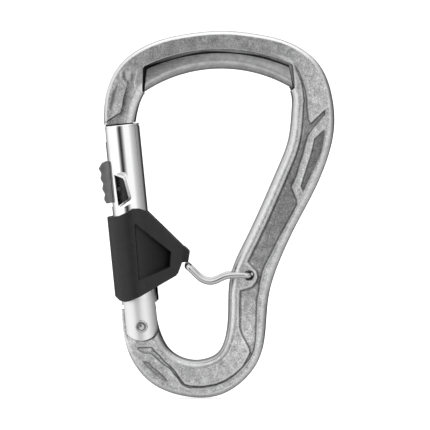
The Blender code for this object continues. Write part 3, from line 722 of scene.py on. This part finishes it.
def moulded_plastic():
    """Black moulded plastic with a fine spark-eroded grain; painted shade, darker and less glossy, in the
    wing's recesses.
    """
    finish = Finish("moulded_plastic", (0.011, 0.011, 0.0115), 0, 0.4)
    across, along = to_gate(0, 0)
    place = finish.split(finish.mapped(turn=GATE_TILT, shift=(across * MM, 0, along * MM)))
    root, tip, reach = WING_HALF
    face = finish.calc("ADD", root * MM, finish.times(place["X"], (tip - root) / reach))
    depth = finish.calc("SUBTRACT", face, finish.calc("ABSOLUTE", place["Y"]))
    shallow, deep = RECESS_SHADE_DEPTHS
    recess_shade = finish.spread(depth, shallow * MM, deep * MM, 0, 1)
    for axis, start, end in RECESS_SHADE_SPANS:
        recess_shade = finish.times(recess_shade, finish.spread(place[axis], start * MM, end * MM, 0, 1))
    fine = finish.noise(0.14)
    # Painted shade deep in the recess: darker colour and less gloss.
    dull_and_shade = finish.spread(recess_shade, 0, 1, 1, 0.2)
    finish.tint(finish.times(finish.vary(finish.noise(2.5, 3), 0.85, 1.2), dull_and_shade))
    finish.feed(finish.sockets["Specular IOR Level"], finish.times(dull_and_shade, 0.36))
    finish.rough(finish.vary(fine, 0.33, 0.44))
    finish.bump(fine, 0.008)
    return finish.material


# ---- frame

def frame_edges():
    """Outer edge, inner edge and distance along the stock, at evenly spaced stations."""
    ribs = np.array(FRAME_RIBS)
    knots = run_length((ribs[:, :2] + ribs[:, 2:]) / 2)
    at = np.linspace(0, knots[-1], STATIONS)
    edges = spline(knots, ribs, at)
    return edges[:, :2], edges[:, 2:], at


def seat_top(raised, count):
    """Points along an arc a distance above the insert's top edge."""
    x, z, radius = SEAT_ARC
    reach = np.linspace(SEAT_REACH[0] - raised, SEAT_REACH[1] + raised, count)
    return [(at, arc_height((x, z, radius + raised), at)) for at in reach]


def seat_line():
    """The insert's seat in the frame, from the nose side to the spine side, with rounded corners."""
    left, right = ((reach + gap, arc_height(ROPE_ARC, reach) + rise)
                   for reach, gap, rise in zip(ROPE_REACH, (-END_GAP, END_GAP), END_RISE))
    top = seat_top(SEAT_GAP, 60)
    turns = []
    for corner, before, after in ((top[0], left, top[1]), (top[-1], top[-2], right)):
        corner, before, after = map(np.array, (corner, before, after))
        start = corner + (before - corner) / np.linalg.norm(before - corner) * SEAT_CORNER
        end = corner + (after - corner) / np.linalg.norm(after - corner) * SEAT_CORNER
        turns.append([(1 - t) ** 2 * start + 2 * t * (1 - t) * corner + t ** 2 * end
                      for t in np.linspace(0, 1, 6)])
    back, down = SEAT_FOOT
    return [left, *turns[0], *top[2:-2], *turns[1], right, (right[0] - back, right[1] - down)]


def let_in_seat(inner, along):
    """Moves the inner edge to the seat under the insert; returns 1 at those stations and 0 elsewhere."""
    seat = seat_line()
    first = next(i for i in range(STATIONS) if inner[i, 1] > seat[0][1])
    last = next(i for i in range(STATIONS // 4, STATIONS) if inner[i, 1] < seat[-1][1])
    inner[first:last] = resample(seat, (along[first:last] - along[first]) / (along[last - 1] - along[first]))
    seated = np.zeros((STATIONS, 1))
    seated[first:last] = 1
    return seated


def wall(distance, deep, lip, fillet=0.6):
    """Depth by distance inside a recess: a rounded edge a lip outside it, a steep side and a rounded foot."""
    steep, foot = 1.6, 4
    inside = distance > -lip
    distance = distance + lip
    held = np.clip(distance, 0, 0.85 * fillet)
    raw = fillet - np.sqrt(fillet ** 2 - held ** 2) + steep * np.maximum(distance - held, 0) + 1e-6
    return (raw ** -foot + np.maximum(deep, 1e-3) ** -foot) ** (-1 / foot) * inside


def frame_relief(points, along, rim, inset):
    """Depth of the face below its full height, how much duller and painted darker each point is, and how far
    it is worn.
    """
    x, z = points[..., 0], points[..., 1]
    pocket = inside_by(points, POCKET)
    spine = (along > RIM_REACH[0]) & (along < RIM_REACH[1])
    pocket = np.where(spine, np.minimum(pocket, rim - RIM_WIDTH), pocket)
    pocket = np.minimum(pocket, -inside_by(points, BOSS))
    depths = [wall(pocket, table(POCKET_DEPTH, along), lip=0.15)]
    # Pocket floors are duller and painted darker as shade, with a band of painted shade along the wall.
    dull_and_shade = [slope(pocket, run=0.5) * table(HOLLOWS, along), bell(pocket, middle=0.35, width=0.28)]

    # The side panel and the basket's recess likewise: duller, painted darker, with painted shade along their
    # walls.
    panel = inside_by(points, SIDE_PANEL)
    depths.append(wall(panel, 0.6, lip=0.1, fillet=0.4))
    dull_and_shade += [slope(panel, run=0.4, height=0.92), bell(panel, middle=0.25, width=0.22)]
    recess = inside_by(points, BASKET_RECESS)
    depths.append(slope(recess, run=0.9, height=0.45, start=0.3))
    dull_and_shade += [slope(recess, run=0.6, height=0.5, start=0.3), bell(recess, middle=0.1, width=0.25, height=0.95)]
    # The nose's dents are sunk a little and painted darker as shade.
    for outline in NOSE_DENTS:
        dent = slope(inside_by(points, outline), run=1.2, start=0.5)
        depths.append(0.32 * dent)
        dull_and_shade.append(0.85 * dent)

    step = inside_by(points, NOSE_STEP)
    foot_x, foot_z, lean, width = NOSE_FOOT
    across = (x - foot_x - lean * (z - foot_z)) / width
    deep = table(NOSE_DEPTH, z)
    floor = slope(step, run=0.35)
    depths.append(floor * deep * np.clip(1 - across, 0.25, 1))
    # Painted shade on the step's floor and along its edge.
    dull_and_shade.append(0.55 * floor * np.clip(1.1 - across, 0, 1) * np.clip(deep, 0, 1))
    dull_and_shade.append(bell(step, middle=0.2, width=0.25) * np.clip(deep, 0, 1) * (across < 1.2))

    crease = bell(rim, middle=2.9, width=0.3, height=0.12)
    crease = crease * slope(along - CREASE_START, run=8) * slope(CREASE_END - along, run=6)
    beside_ear = slope(along - EAR_FLAT_START, run=6, height=1.7)
    beside_ear = beside_ear * slope(EAR_FLAT_WIDTH - inset, run=2.4)
    rubbed_and_highlight = bell(pocket, middle=-0.12, width=0.2, height=0.6)
    rubbed_and_highlight = rubbed_and_highlight + bell(panel, middle=-0.1, width=0.2, height=0.35)
    depth = np.max(np.broadcast_arrays(*depths), axis=0) + crease + beside_ear
    return depth, np.max(np.broadcast_arrays(*dull_and_shade), axis=0), np.minimum(rubbed_and_highlight, 1)


def rub(share):
    """Wear over a rounding, by the share of the way over it: most in its middle."""
    return np.sin(pi * share) ** 0.7


def face_columns(points, along, rim, inset, width, seated):
    """Half thickness of the face, and each point's dullness with painted shade, wear with painted highlights,
    and painted light.
    """
    depth, dull_and_shade, rubbed_and_highlight = frame_relief(points, along, rim, inset)
    rough = 0.022 * grain(points, 2.4, 3) + 0.008 * grain(points, 0.8, 2)  # coarse and fine unevenness
    beyond = np.maximum(table(CREST, along) * width - inset, 0)
    fall = table(FALL, along) * np.sqrt(beyond ** 2 + CREST_ROUNDING ** 2) - CREST_LIFT
    # Under the insert the face rolls down to the rope side, which the seat cuts off.
    share = np.clip(1 - rim / (RIM_WIDTH - 0.15), 0, 1)
    over = (1 - 2 / pi * np.arccos(share ** (RIM_SQUARE / 2))) * seated
    roll = FACE_HALF * (1 - (1 - share ** RIM_SQUARE) ** (1 / RIM_SQUARE)) * seated
    half = FACE_HALF - depth + rough - FACE_SKIN - np.maximum(fall, 0) - roll
    # Painted light and shade along the stock, taking the rim's painted light where the face rolls under the
    # insert.
    bright = table(FACE_PAINTED_LIGHT, along)
    on_roll = table(RIM_PAINTED_LIGHT, along) * table(RIM_SHADE, over)
    bright = bright + (on_roll - bright) * np.clip(over / 0.15, 0, 1)
    # Painted highlights as wear and brightness: down the nose, and beside the insert's end on the spine side.
    line = np.array(NOSE_HIGHLIGHT)
    beside = bell(width - inset, middle=1.2, width=0.5) * (seated * slope(along - HIGHLIGHT_START, run=5))
    painted_ridge = np.maximum(bell(edge_distance(points, line[:-1], line[1:]), 0, 0.6, height=0.8), beside)
    rubbed_and_highlight = np.max((rubbed_and_highlight, 0.8 * rub(np.clip(over, 0, 1)), 0.7 * painted_ridge), axis=0)
    return half, dull_and_shade, rubbed_and_highlight, bright + 0.4 * painted_ridge


def columns(*bands):
    """Values for the flat side, the outer rounding, the face and the rim, side by side in one array."""
    sizes = (SIDE_COLUMNS, ROUND_COLUMNS, FACE_COLUMNS, RIM_COLUMNS)
    return np.hstack([np.broadcast_to(band, (STATIONS, size)) for band, size in zip(bands, sizes)])


def both_halves(front, back):
    """A ring's columns from the outer side over the front to the inner side, and back behind."""
    return np.concatenate((front, back[:, -2:0:-1]), axis=1)


def frame_mesh():
    """The forging as rings round the stock, each from the outer side over the face to the inner side."""
    outer, inner, along = frame_edges()
    rope_side = inner[::4].copy()
    seated = let_in_seat(inner, along)
    on_seat = seated > 0.5
    along = along[:, None]
    width = np.linalg.norm(inner - outer, axis=1)[:, None]
    heading = (inner - outer) / width
    outer_round = np.minimum(table(OUTER_ROUNDING, along), width * 0.35)
    inner_round = np.where(on_seat, SEAT_ROUNDING, table(RIM_ROLL, along))

    inset = outer_round + (width - outer_round - inner_round) * np.linspace(0, 1, FACE_COLUMNS)
    points = outer[:, None] + heading[:, None] * inset[..., None]
    rim = edge_distance(points, rope_side[:-1], rope_side[1:])
    face, dull_and_shade, rubbed_and_highlight, bright = face_columns(points, along, rim, inset, width, seated)

    # Each rounding starts at the height of the face beside it.
    side = np.linspace(0, 1, SIDE_COLUMNS + 1)[:-1]
    turns = quarter(ROUND_COLUMNS + 1)[:-1]
    outer_half = SIDE_HALF + (face[:, :1] - SIDE_HALF) * np.sin(turns)
    outer_inset = outer_round * (1 - np.cos(turns))
    edge = face[:, -1:]
    done = np.linspace(0, 1, RIM_COLUMNS + 1)[1:]
    turns = pi / 2 * (1 - done)
    power = 2 / RIM_SQUARE
    corner = np.linspace(pi / 2, 0, CORNER_COLUMNS + 1)[1:]
    flat = np.linspace(1, 0, RIM_COLUMNS - CORNER_COLUMNS + 1)[1:]
    seat_half = np.hstack((edge - SEAT_ROUNDING * (1 - np.sin(corner)), (edge - SEAT_ROUNDING) * flat))
    seat_inset = np.hstack((SEAT_ROUNDING * (1 - np.cos(corner)), np.zeros_like(flat)))
    rim_half = np.where(on_seat, seat_half, edge * np.sin(turns) ** power)
    rim_inset = np.where(on_seat, seat_inset, inner_round * (1 - np.cos(turns) ** power))

    half = columns(SIDE_HALF * side, outer_half, face, rim_half)
    inset = columns(0, outer_inset, inset, width - rim_inset)
    side_rub, side_painted_light = table(RUBBED, along), table(SIDE_PAINTED_LIGHT, along)
    shades = {
        "hollow": columns(0, 0, dull_and_shade, 0),
        # Rubbing polishes the roundings; the wall inside the rim stays as forged.
        "rubbed_and_highlight": columns(0.5 * side_rub, side_rub, rubbed_and_highlight, np.where(on_seat, 0.5, 0.8 * rub(done))),
        # Painted light and shade: on the outer side, the face, the inner rounding, and the seat's edge and
        # joint.
        "brightness": columns(
            side_painted_light, side_painted_light + (1 - side_painted_light) * np.linspace(0, 1, ROUND_COLUMNS), bright,
            np.where(on_seat, bright[:, :1] * table(SEAT_SHADE, np.arange(RIM_COLUMNS)),
                     table(RIM_PAINTED_LIGHT, along) * table(RIM_SHADE, np.linspace(0, 1, RIM_COLUMNS)))),
    }
    place = outer[:, None] + heading[:, None] * inset[..., None]
    place = both_halves(place, place)
    made = skin("frame_forging", np.dstack((place[..., 0], both_halves(-half, half), place[..., 1])))
    for name, values in shades.items():
        paint(made, name, both_halves(values, values))
    return made


def ear_reach(angle):
    """Distance from the rivet to the edge of a gate ear in one direction."""
    height, radius = EAR_ARC
    end = height * sin(angle) + sqrt(radius ** 2 - (height * cos(angle)) ** 2)
    flank = sqrt(TUBE_RADIUS ** 2 - EAR_INSIDE ** 2) / max(abs(cos(angle)), 1e-6)
    return min(end, flank)


def ear_relief():
    """Outline in the gate's frame that the ears sweep as the gate opens, open towards the gate."""
    outline = [(-EAR_WALL, RELIEF_TOP), (-EAR_WALL, RELIEF_LOW)]
    for i in range(61):
        angle = pi + pi * i / 60
        reach = max(ear_reach(angle + GATE_OPENING * k / 4) for k in range(5)) + EAR_GAP
        outline.append((reach * cos(angle), reach * sin(angle)))
    return outline + [(CLEAR, RELIEF_LOW), (CLEAR, RELIEF_TOP)]


def build_frame(finish):
    made = frame_mesh()
    for half, reach, low, high in (KEY_STEM, KEY_HEAD):
        combine(made, box("key", (KEY_OUTER, reach), (-half, half), (low, high), True), "UNION")
    for near, far in ((-CLEAR, -TONGUE_HALF), (TONGUE_HALF, CLEAR)):
        combine(made, slab("ear_relief", ear_relief(), near, far, True))
    combine(made, bore("rivet_bore", HINGE, RIVET_RADIUS + RIVET_GAP))
    wide, narrow, deep = BOSS_BORE
    face, beyond = BOSS_SINK - FACE_HALF, 1.5
    flare = ((wide + beyond, face - beyond * deep), (wide, face), (narrow, face + deep))
    combine(made, pin("wire_bore", mirrored(flare), WIRE_PIVOT, 64))
    dress(made, finish, "frame_body", "frame_aluminium", "frame", sharp=40)


# ---- insert and rivet

def insert_section(deep):
    """Half of a section as (distance down from its top edge, half thickness)."""
    crown = INSERT_HALF - INSERT_LEAN
    section = [(0, crown - 2 * INSERT_EDGE)]
    for turn in quarter(8):
        section.append((INSERT_EDGE * (1 - cos(turn)), crown - 2 * INSERT_EDGE * (1 - sin(turn))))
    for share in np.linspace(0, 1, 12)[1:]:
        down = INSERT_EDGE + (deep - INSERT_ROLL - INSERT_EDGE) * share
        section.append((down, crown + INSERT_LEAN * sin(pi / 2 * share)))
    for turn in quarter(20)[1:]:
        section.append((deep - INSERT_ROLL * (1 - sin(turn)), INSERT_HALF * cos(turn) ** 0.9))
    return section


def build_insert(finish):
    """A half-round rope side under a flat face, with a rounded top edge and rounded ends."""
    stations = 220
    (seat_start, seat_end), (rope_start, rope_end) = SEAT_REACH, ROPE_REACH
    rings = []
    for place in np.linspace(0, 1, stations):
        top_x = seat_start + INSERT_TRIM + (seat_end - seat_start - 2 * INSERT_TRIM) * place
        low_x = rope_start + (rope_end - rope_start) * place
        top = np.array((top_x, arc_height(SEAT_ARC, top_x)))
        low = np.array((low_x, arc_height(ROPE_ARC, low_x)))
        deep = np.linalg.norm(low - top)
        end = min(place, 1 - place) * (rope_end - rope_start)
        inset = INSERT_END * (1 - sqrt(max(0, 1 - max(0, 1 - end / INSERT_END) ** 2)))
        direction = (low - top) / deep
        front = []
        for down, half in insert_section(deep):
            spot = top + direction * (inset + down * (deep - 2 * inset) / deep)
            front.append((spot[0], -max(half - inset, 0), spot[1]))
        rings.append(front + [(x, -y, z) for x, y, z in reversed(front[:-1])])
    made = skin("steel_insert_bow", rings)
    size = len(front)
    # Painted shade in the joint: dark on the top edge's rounding, by point of a section.
    shown = table(INSERT_JOINT_SHADE, np.arange(size))
    paint(made, "open", np.tile(np.concatenate((shown, shown[-2::-1])), stations))

    (right_foot, left_foot), (start, end) = RIB_FEET, RIB_LOW
    low_side = [(x, arc_height(ROPE_ARC, x) + RIB_DEPTH) for x in np.linspace(start, end, 40)]
    rib = [*seat_top(RIB_HEIGHT, 40), *right_foot, *low_side, *left_foot]
    combine(made, slab("rib", rib, -RIB_HALF, RIB_HALF), "UNION")
    dress(made, finish, "frame_body", "insert_steel", "steel_insert", sharp=50)


def build_rivet(finish):
    """The hinge rivet: each head is dished by the riveting tool, with a small nib in the middle."""
    radius, start, end = RIVET_HEAD
    head = [(across, deep - end) for across, deep in RIVET_DISH]
    rim = head[-1][0]
    for turn in quarter(8)[1:]:
        head.append((rim + (radius - rim) * sin(turn), -end + RIVET_EDGE * (1 - cos(turn))))
    head += [(radius, -start), (RIVET_RADIUS, -start + RIVET_STEP)]
    made = pin("hinge_rivet_pin", mirrored(head), HINGE, 56)
    dress(made, finish, "frame_body", "rivet_steel", "hinge_rivet")


# ---- gate

def build_gate_tube(finish):
    low, high, deep, run = RIM_GROOVE
    levels = np.linspace(TUBE_BOTTOM, GATE_TOP - low, 60)
    profile = [(TUBE_RADIUS, level) for level in levels]
    profile += [(TUBE_RADIUS - deep, GATE_TOP - low + run), (TUBE_RADIUS - deep, GATE_TOP - high - run),
                (TUBE_RADIUS, GATE_TOP - high)]
    profile += [(TUBE_RADIUS - GATE_EDGE * (1 - cos(t)), GATE_TOP - GATE_EDGE + GATE_EDGE * sin(t))
                for t in quarter(6)]
    profile += [(BORE_RADIUS + BORE_EDGE, GATE_TOP), (BORE_RADIUS, GATE_TOP - BORE_EDGE)]
    profile += [(BORE_RADIUS, level) for level in levels[::-4]]
    made = turned("gate_barrel", profile, 192, ring=True)

    height, radius = EAR_ARC
    arc = [(radius * cos(t), height + radius * sin(t)) for t in np.linspace(-pi, 0, 65)]
    level = height - sqrt(radius ** 2 - TUBE_RADIUS ** 2)
    below = [(-CLEAR, -CLEAR), (-CLEAR, height), *arc, (CLEAR, height), (CLEAR, -CLEAR)]
    below = [(x, min(z, level)) for x, z in below]
    neck_slot = (NECK_SPAN[0] - SLIDE_TRAVEL - RUNNING_GAP, NECK_SPAN[1] + RUNNING_GAP)
    cutters = [
        box("ear_slot", THROUGH, (-EAR_INSIDE, EAR_INSIDE), (-CLEAR, EAR_TOP), True),
        slab("ear_end", below, *THROUGH, True),
        bore("ear_bore", (0, 0), RIVET_RADIUS + RIVET_EAR_GAP, True),
        bore("divider_bore", (0, DIVIDER_ALONG), DIVIDER_RADIUS + PIN_GAP, True),
        slab("window", WINDOW, -CLEAR, WINDOW_DEPTH, True),
        window_bevel(),
    ]
    for half, along in ((NECK_HALF, neck_slot), *KEY_SLOTS):
        half += SLOT_GAP
        cutters.append(box("slot", (-CLEAR, SLOT_DEPTH), (-half, half), along, True))
    for cutter in cutters:
        combine(made, cutter)
    soften(made, TUBE_SOFTNESS, 2)
    dress(made, finish, "gate", "gate_aluminium", "gate_tube", sharp=25)


def window_bevel():
    """A cutter that widens the window's outline towards the outside of the tube."""
    inner, outer = np.array(WINDOW), np.array(WINDOW_EDGE)
    middle = inner.mean(axis=0)
    size = 12
    rings = []
    for share, y in WINDOW_STEPS:
        corners = inner + (outer - inner) * share if share >= 0 else middle + (inner - middle) * (1 + share)
        ring = []
        for start, end in zip(corners, np.roll(corners, -1, axis=0)):
            ring += [start + (end - start) * k / size for k in range(size)]
        rings.append([(x, y, z) for x, z in ring])
    return skin("window_bevel", rings, on_gate=True)


def thumb_outline():
    """The thumb piece from the side: a peak at the top and grip waves below it."""
    low, high = THUMB_SPAN
    (shoulder, drop), (crest, peak) = THUMB_CREST
    peak = high - peak
    across, lean, deep, spacing = GRIP
    below, above = GRIP_ENDS
    outline = [(THUMB_INNER, high), (shoulder, high - drop), (crest, peak)]
    for height in np.linspace(peak - above, low + below, 48):
        wave = deep * cos(2 * pi * (peak - height) / spacing)
        outline.append((across + lean * (peak - height) - wave, height))
    return outline + [(THUMB_HEEL, low), (THUMB_INNER, low)]


def build_slider(finish):
    made = slab("slide_thumb", thumb_outline(), -THUMB_HALF, THUMB_HALF, True)
    soften(made, THUMB_SOFTNESS, 4, 50)
    low, high = THUMB_SPAN
    half = THUMB_HALF - LIP_INSET / 2
    lips = box("lips", (THUMB_INNER - LIP_OVERLAP, THUMB_LIPS), (-half, half),
               (low + LIP_INSET, high - LIP_INSET), True)
    combine(made, lips, "UNION")
    saddle = [(TUBE_RADIUS + SADDLE_GAP, level) for level in (low - SADDLE_PAST, high + SADDLE_PAST)]
    combine(made, turned("saddle", saddle, 128))
    neck = box("neck", (THUMB_INNER - NECK_OVERLAP, NECK_TIP), (-NECK_HALF, NECK_HALF), NECK_SPAN, True)
    soften(neck, NECK_SOFTNESS, 2)
    combine(made, neck, "UNION")
    *centre, radius = SLIDER_PIN
    combine(made, bore("neck_bore", centre, radius + PIN_GAP, True))
    dress(made, finish, "slide", "slider_grey", "lock_slider")


# ---- sleeve

def wing_surface(side, depth=0):
    """The wing's face as y at a distance across, less a depth that grows quickly and then levels out."""
    root, tip, reach = WING_HALF

    def face(across):
        share = across / reach
        return side * (root + (tip - root) * share - depth * (1 - (1 - share) ** 2))
    return face


def recess_cutter(side):
    """A cutter for the wing's recess, with a curved floor."""
    low_near, low_far, high_far, high_near = np.array(RECESS)
    floor = wing_surface(side, RECESS_DEPTH)
    rings = []
    for share in np.linspace(0, 1, 15):
        low = low_near + (low_far - low_near) * share
        high = high_near + (high_far - high_near) * share
        rings.append([(low[0], side * CLEAR, low[1]), (high[0], side * CLEAR, high[1]),
                      (high[0], floor(high[0]), high[1]), (low[0], floor(low[0]), low[1])])
    return skin("recess", rings, on_gate=True)


def build_sleeve(finish):
    low, high = SLEEVE_SPAN
    ring = ((SLEEVE_OUTER, low), (SLEEVE_OUTER, high), (SLEEVE_BORE, high), (SLEEVE_BORE, low))
    made = turned("wing_sleeve_moulding", ring, 128, ring=True)
    combine(made, slab("wing", WING, wing_surface(-1), wing_surface(1), True), "UNION")
    combine(made, slab("hook", HOOK, -HOOK_HALF, HOOK_HALF, True), "UNION")
    inside = [(SLEEVE_BORE - SLEEVE_SHAVE, level) for level in INSIDE_SPAN]
    combine(made, turned("inside", inside, 128))
    for outline, front, back in ((SLEEVE_TOP, -CLEAR, CLEAR), (FRONT_FOOT, -CLEAR, 0),
                                 (BACK_FOOT, FOOT_OVERLAP, CLEAR)):
        combine(made, slab("trim", outline, front, back, True))
    across, y, along = TAIL
    combine(made, box("tail", (across, CLEAR), (y, CLEAR), (0, along), True))
    for side in (-1, 1):
        combine(made, recess_cutter(side))
    remould(made, SLEEVE_VOXEL, SLEEVE_PASSES)
    dress(made, finish, "gate", "sleeve_plastic", "wing_sleeve", sharp=0)


# ---- wire bar

def build_wire(finish):
    """Both legs and the cross bar as one bent wire, whose ends meet inside the frame's bore."""
    route = np.array(WIRE_ROUTE)
    knots = run_length(route)
    leg = spline(knots, route, np.linspace(0, knots[-1], 160))
    run = run_length(leg)
    plain = leg[(run > WIRE_BEND) & (run < run[-1] - WIRE_BEND)]
    start, end = leg[0], leg[-1]
    ahead = (plain[0] - start) / np.linalg.norm(plain[0] - start)
    away = (plain[-1] - end) / np.linalg.norm(plain[-1] - end)
    bend = [(WIRE_BEND * (1 - cos(t)), WIRE_BEND * (1 - sin(t))) for t in quarter(16)]
    near = WIRE_BEND - WIRE_HALF
    side = [(start, y) for y in np.linspace(-WIRE_END_GAP, near, 24)]
    side += [(start + ahead * along, -WIRE_HALF + y) for along, y in bend[1:]]
    side += [(place, -WIRE_HALF) for place in plain[1:-1]]
    side += [(end + away * along, -WIRE_HALF + y) for y, along in bend]
    side += [(end, y) for y in np.linspace(near, 0, 20)[1:-1]]
    side = [(place[0], y, place[1]) for place, y in side]
    route = side + [(x, -y, z) for x, y, z in reversed(side)]
    made = pipe("wire_bar_bend", route, WIRE_RADIUS, 36)
    dress(made, finish, "wire", "wire_steel", "wire_bar", sharp=50)


# ---- inner workings

def refinish(finish, *nodes):
    """Gives a finish to CAD nodes that stay as they are."""
    for name in nodes:
        for slot in frame["nodes"][name].material_slots:
            slot.material = finish


# ---- studio

def build_floor():
    low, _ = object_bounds()
    level = low.z - FLOOR_DROP * MM
    reach = FLOOR_REACH * MM
    mesh = bpy.data.meshes.new("studio_floor")
    corners = [(-reach, -reach, level), (reach, -reach, level), (reach, reach, level), (-reach, reach, level)]
    mesh.from_pydata(corners, [], [(0, 1, 2, 3)])
    floor = add_object("studio_floor", mesh)
    finish = Finish("pale_floor", (0.5, 0.5, 0.5), 0, 0.9)
    finish.feed(finish.sockets["Specular IOR Level"], 0)
    finish.feed(finish.sockets["Emission Color"], (1, 1, 1, 1))
    finish.feed(finish.sockets["Emission Strength"], FLOOR_GLOW)
    mesh.materials.append(finish.material)
    floor.visible_glossy = False


def build_world():
    """White to the eye; for light and reflections, a studio whose brightness varies with direction."""
    world = bpy.data.worlds.new("studio")
    bpy.context.scene.world = world
    world.use_nodes = True
    world.node_tree.nodes.clear()
    studio = Nodes(world.node_tree)
    place = studio.split(studio.node("ShaderNodeTexCoord", {})["Generated"])

    def curve(source, points, low=-1, high=1):
        """The levels in points, read at a value between low and high."""
        share = studio.calc("DIVIDE", studio.calc("SUBTRACT", source, low), high - low)
        made = studio.node("ShaderNodeValToRGB", {"Fac": share})
        marks = made["Color"].node.color_ramp.elements
        while len(marks) < len(points):
            marks.new(0.5)
        for mark, (at, level) in zip(marks, points):
            mark.position = (at - low) / (high - low)
            mark.color = (level, level, level, 1)
        return made["Color"]

    turn = studio.calc("ARCTAN2", place["X"], studio.times(place["Y"], -1))
    band = curve(turn, [(radians(angle), level) for angle, level in STUDIO_BAND], -pi, pi)
    inputs = {"Factor": curve(place["Z"], STUDIO_SHARE), "A": curve(place["Z"], STUDIO_RISE), "B": band}
    level = studio.node("ShaderNodeMix", inputs, data_type="RGBA")["Result"]
    dark = studio.times(curve(place["Y"], STUDIO_BEHIND), curve(place["Z"], STUDIO_BELOW))
    light = studio.calc("SUBTRACT", 1, studio.times(dark, STUDIO_DIM))
    colour = studio.node("ShaderNodeVectorMath", {0: level, "Scale": light}, operation="SCALE")["Vector"]
    lit = studio.node("ShaderNodeBackground", {"Color": colour})["Background"]
    white = studio.node("ShaderNodeBackground", {"Color": (1, 1, 1, 1)})["Background"]
    seen = studio.node("ShaderNodeLightPath", {})["Is Camera Ray"]
    shader = studio.node("ShaderNodeMixShader", {"Fac": seen, 1: lit, 2: white})["Shader"]
    studio.node("ShaderNodeOutputWorld", {"Surface": shader})


def build_camera():
    data = bpy.data.cameras.new("camera")
    data.sensor_width = 36
    data.lens = data.sensor_width * CAMERA_DISTANCE / CAMERA_FIELD
    data.clip_start, data.clip_end = 0.05, 200
    camera = add_object("camera", data)
    back = Vector((0, -cos(CAMERA_RISE), sin(CAMERA_RISE)))
    camera.location = (Vector(CAMERA_AIM) + back * CAMERA_DISTANCE) * MM
    camera.rotation_euler = (-back).to_track_quat("-Z", "Y").to_euler()
    bpy.context.scene.camera = camera


def main():
    bpy.context.scene.view_settings.view_transform = "Standard"
    build_frame(forged_aluminium())
    build_insert(insert_steel())
    build_rivet(plain_finish(TURNED, "rivet_steel", (0.5, 0.5, 0.505), 0.16))
    build_gate_tube(gate_polish())
    build_sleeve(moulded_plastic())
    build_slider(plain_finish(SATIN, "slider_grey", (0.17, 0.17, 0.172), 0.4, 0.7))
    build_wire(plain_finish(DRAWN, "wire_polish", (0.58, 0.58, 0.585), 0.09))
    refinish(plain_finish(TURNED, "pin_steel", (0.3, 0.3, 0.305), 0.35), "divider_pin", "spring_plunger")
    # A dark finish for the slider's pin.
    refinish(plain_finish(TURNED, "pin_dark", (0.09, 0.09, 0.092), 0.4), "slider_pin")
    refinish(plain_finish(TURNED, "spring_wire", (0.42, 0.42, 0.43), 0.32), "gate_spring", "lock_spring")
    refinish(plain_finish(SATIN, "bolt_black", (0.02, 0.02, 0.02), 0.38, 0.3), "lock_bolt")
    build_floor()
    build_world()
    build_camera()


main()
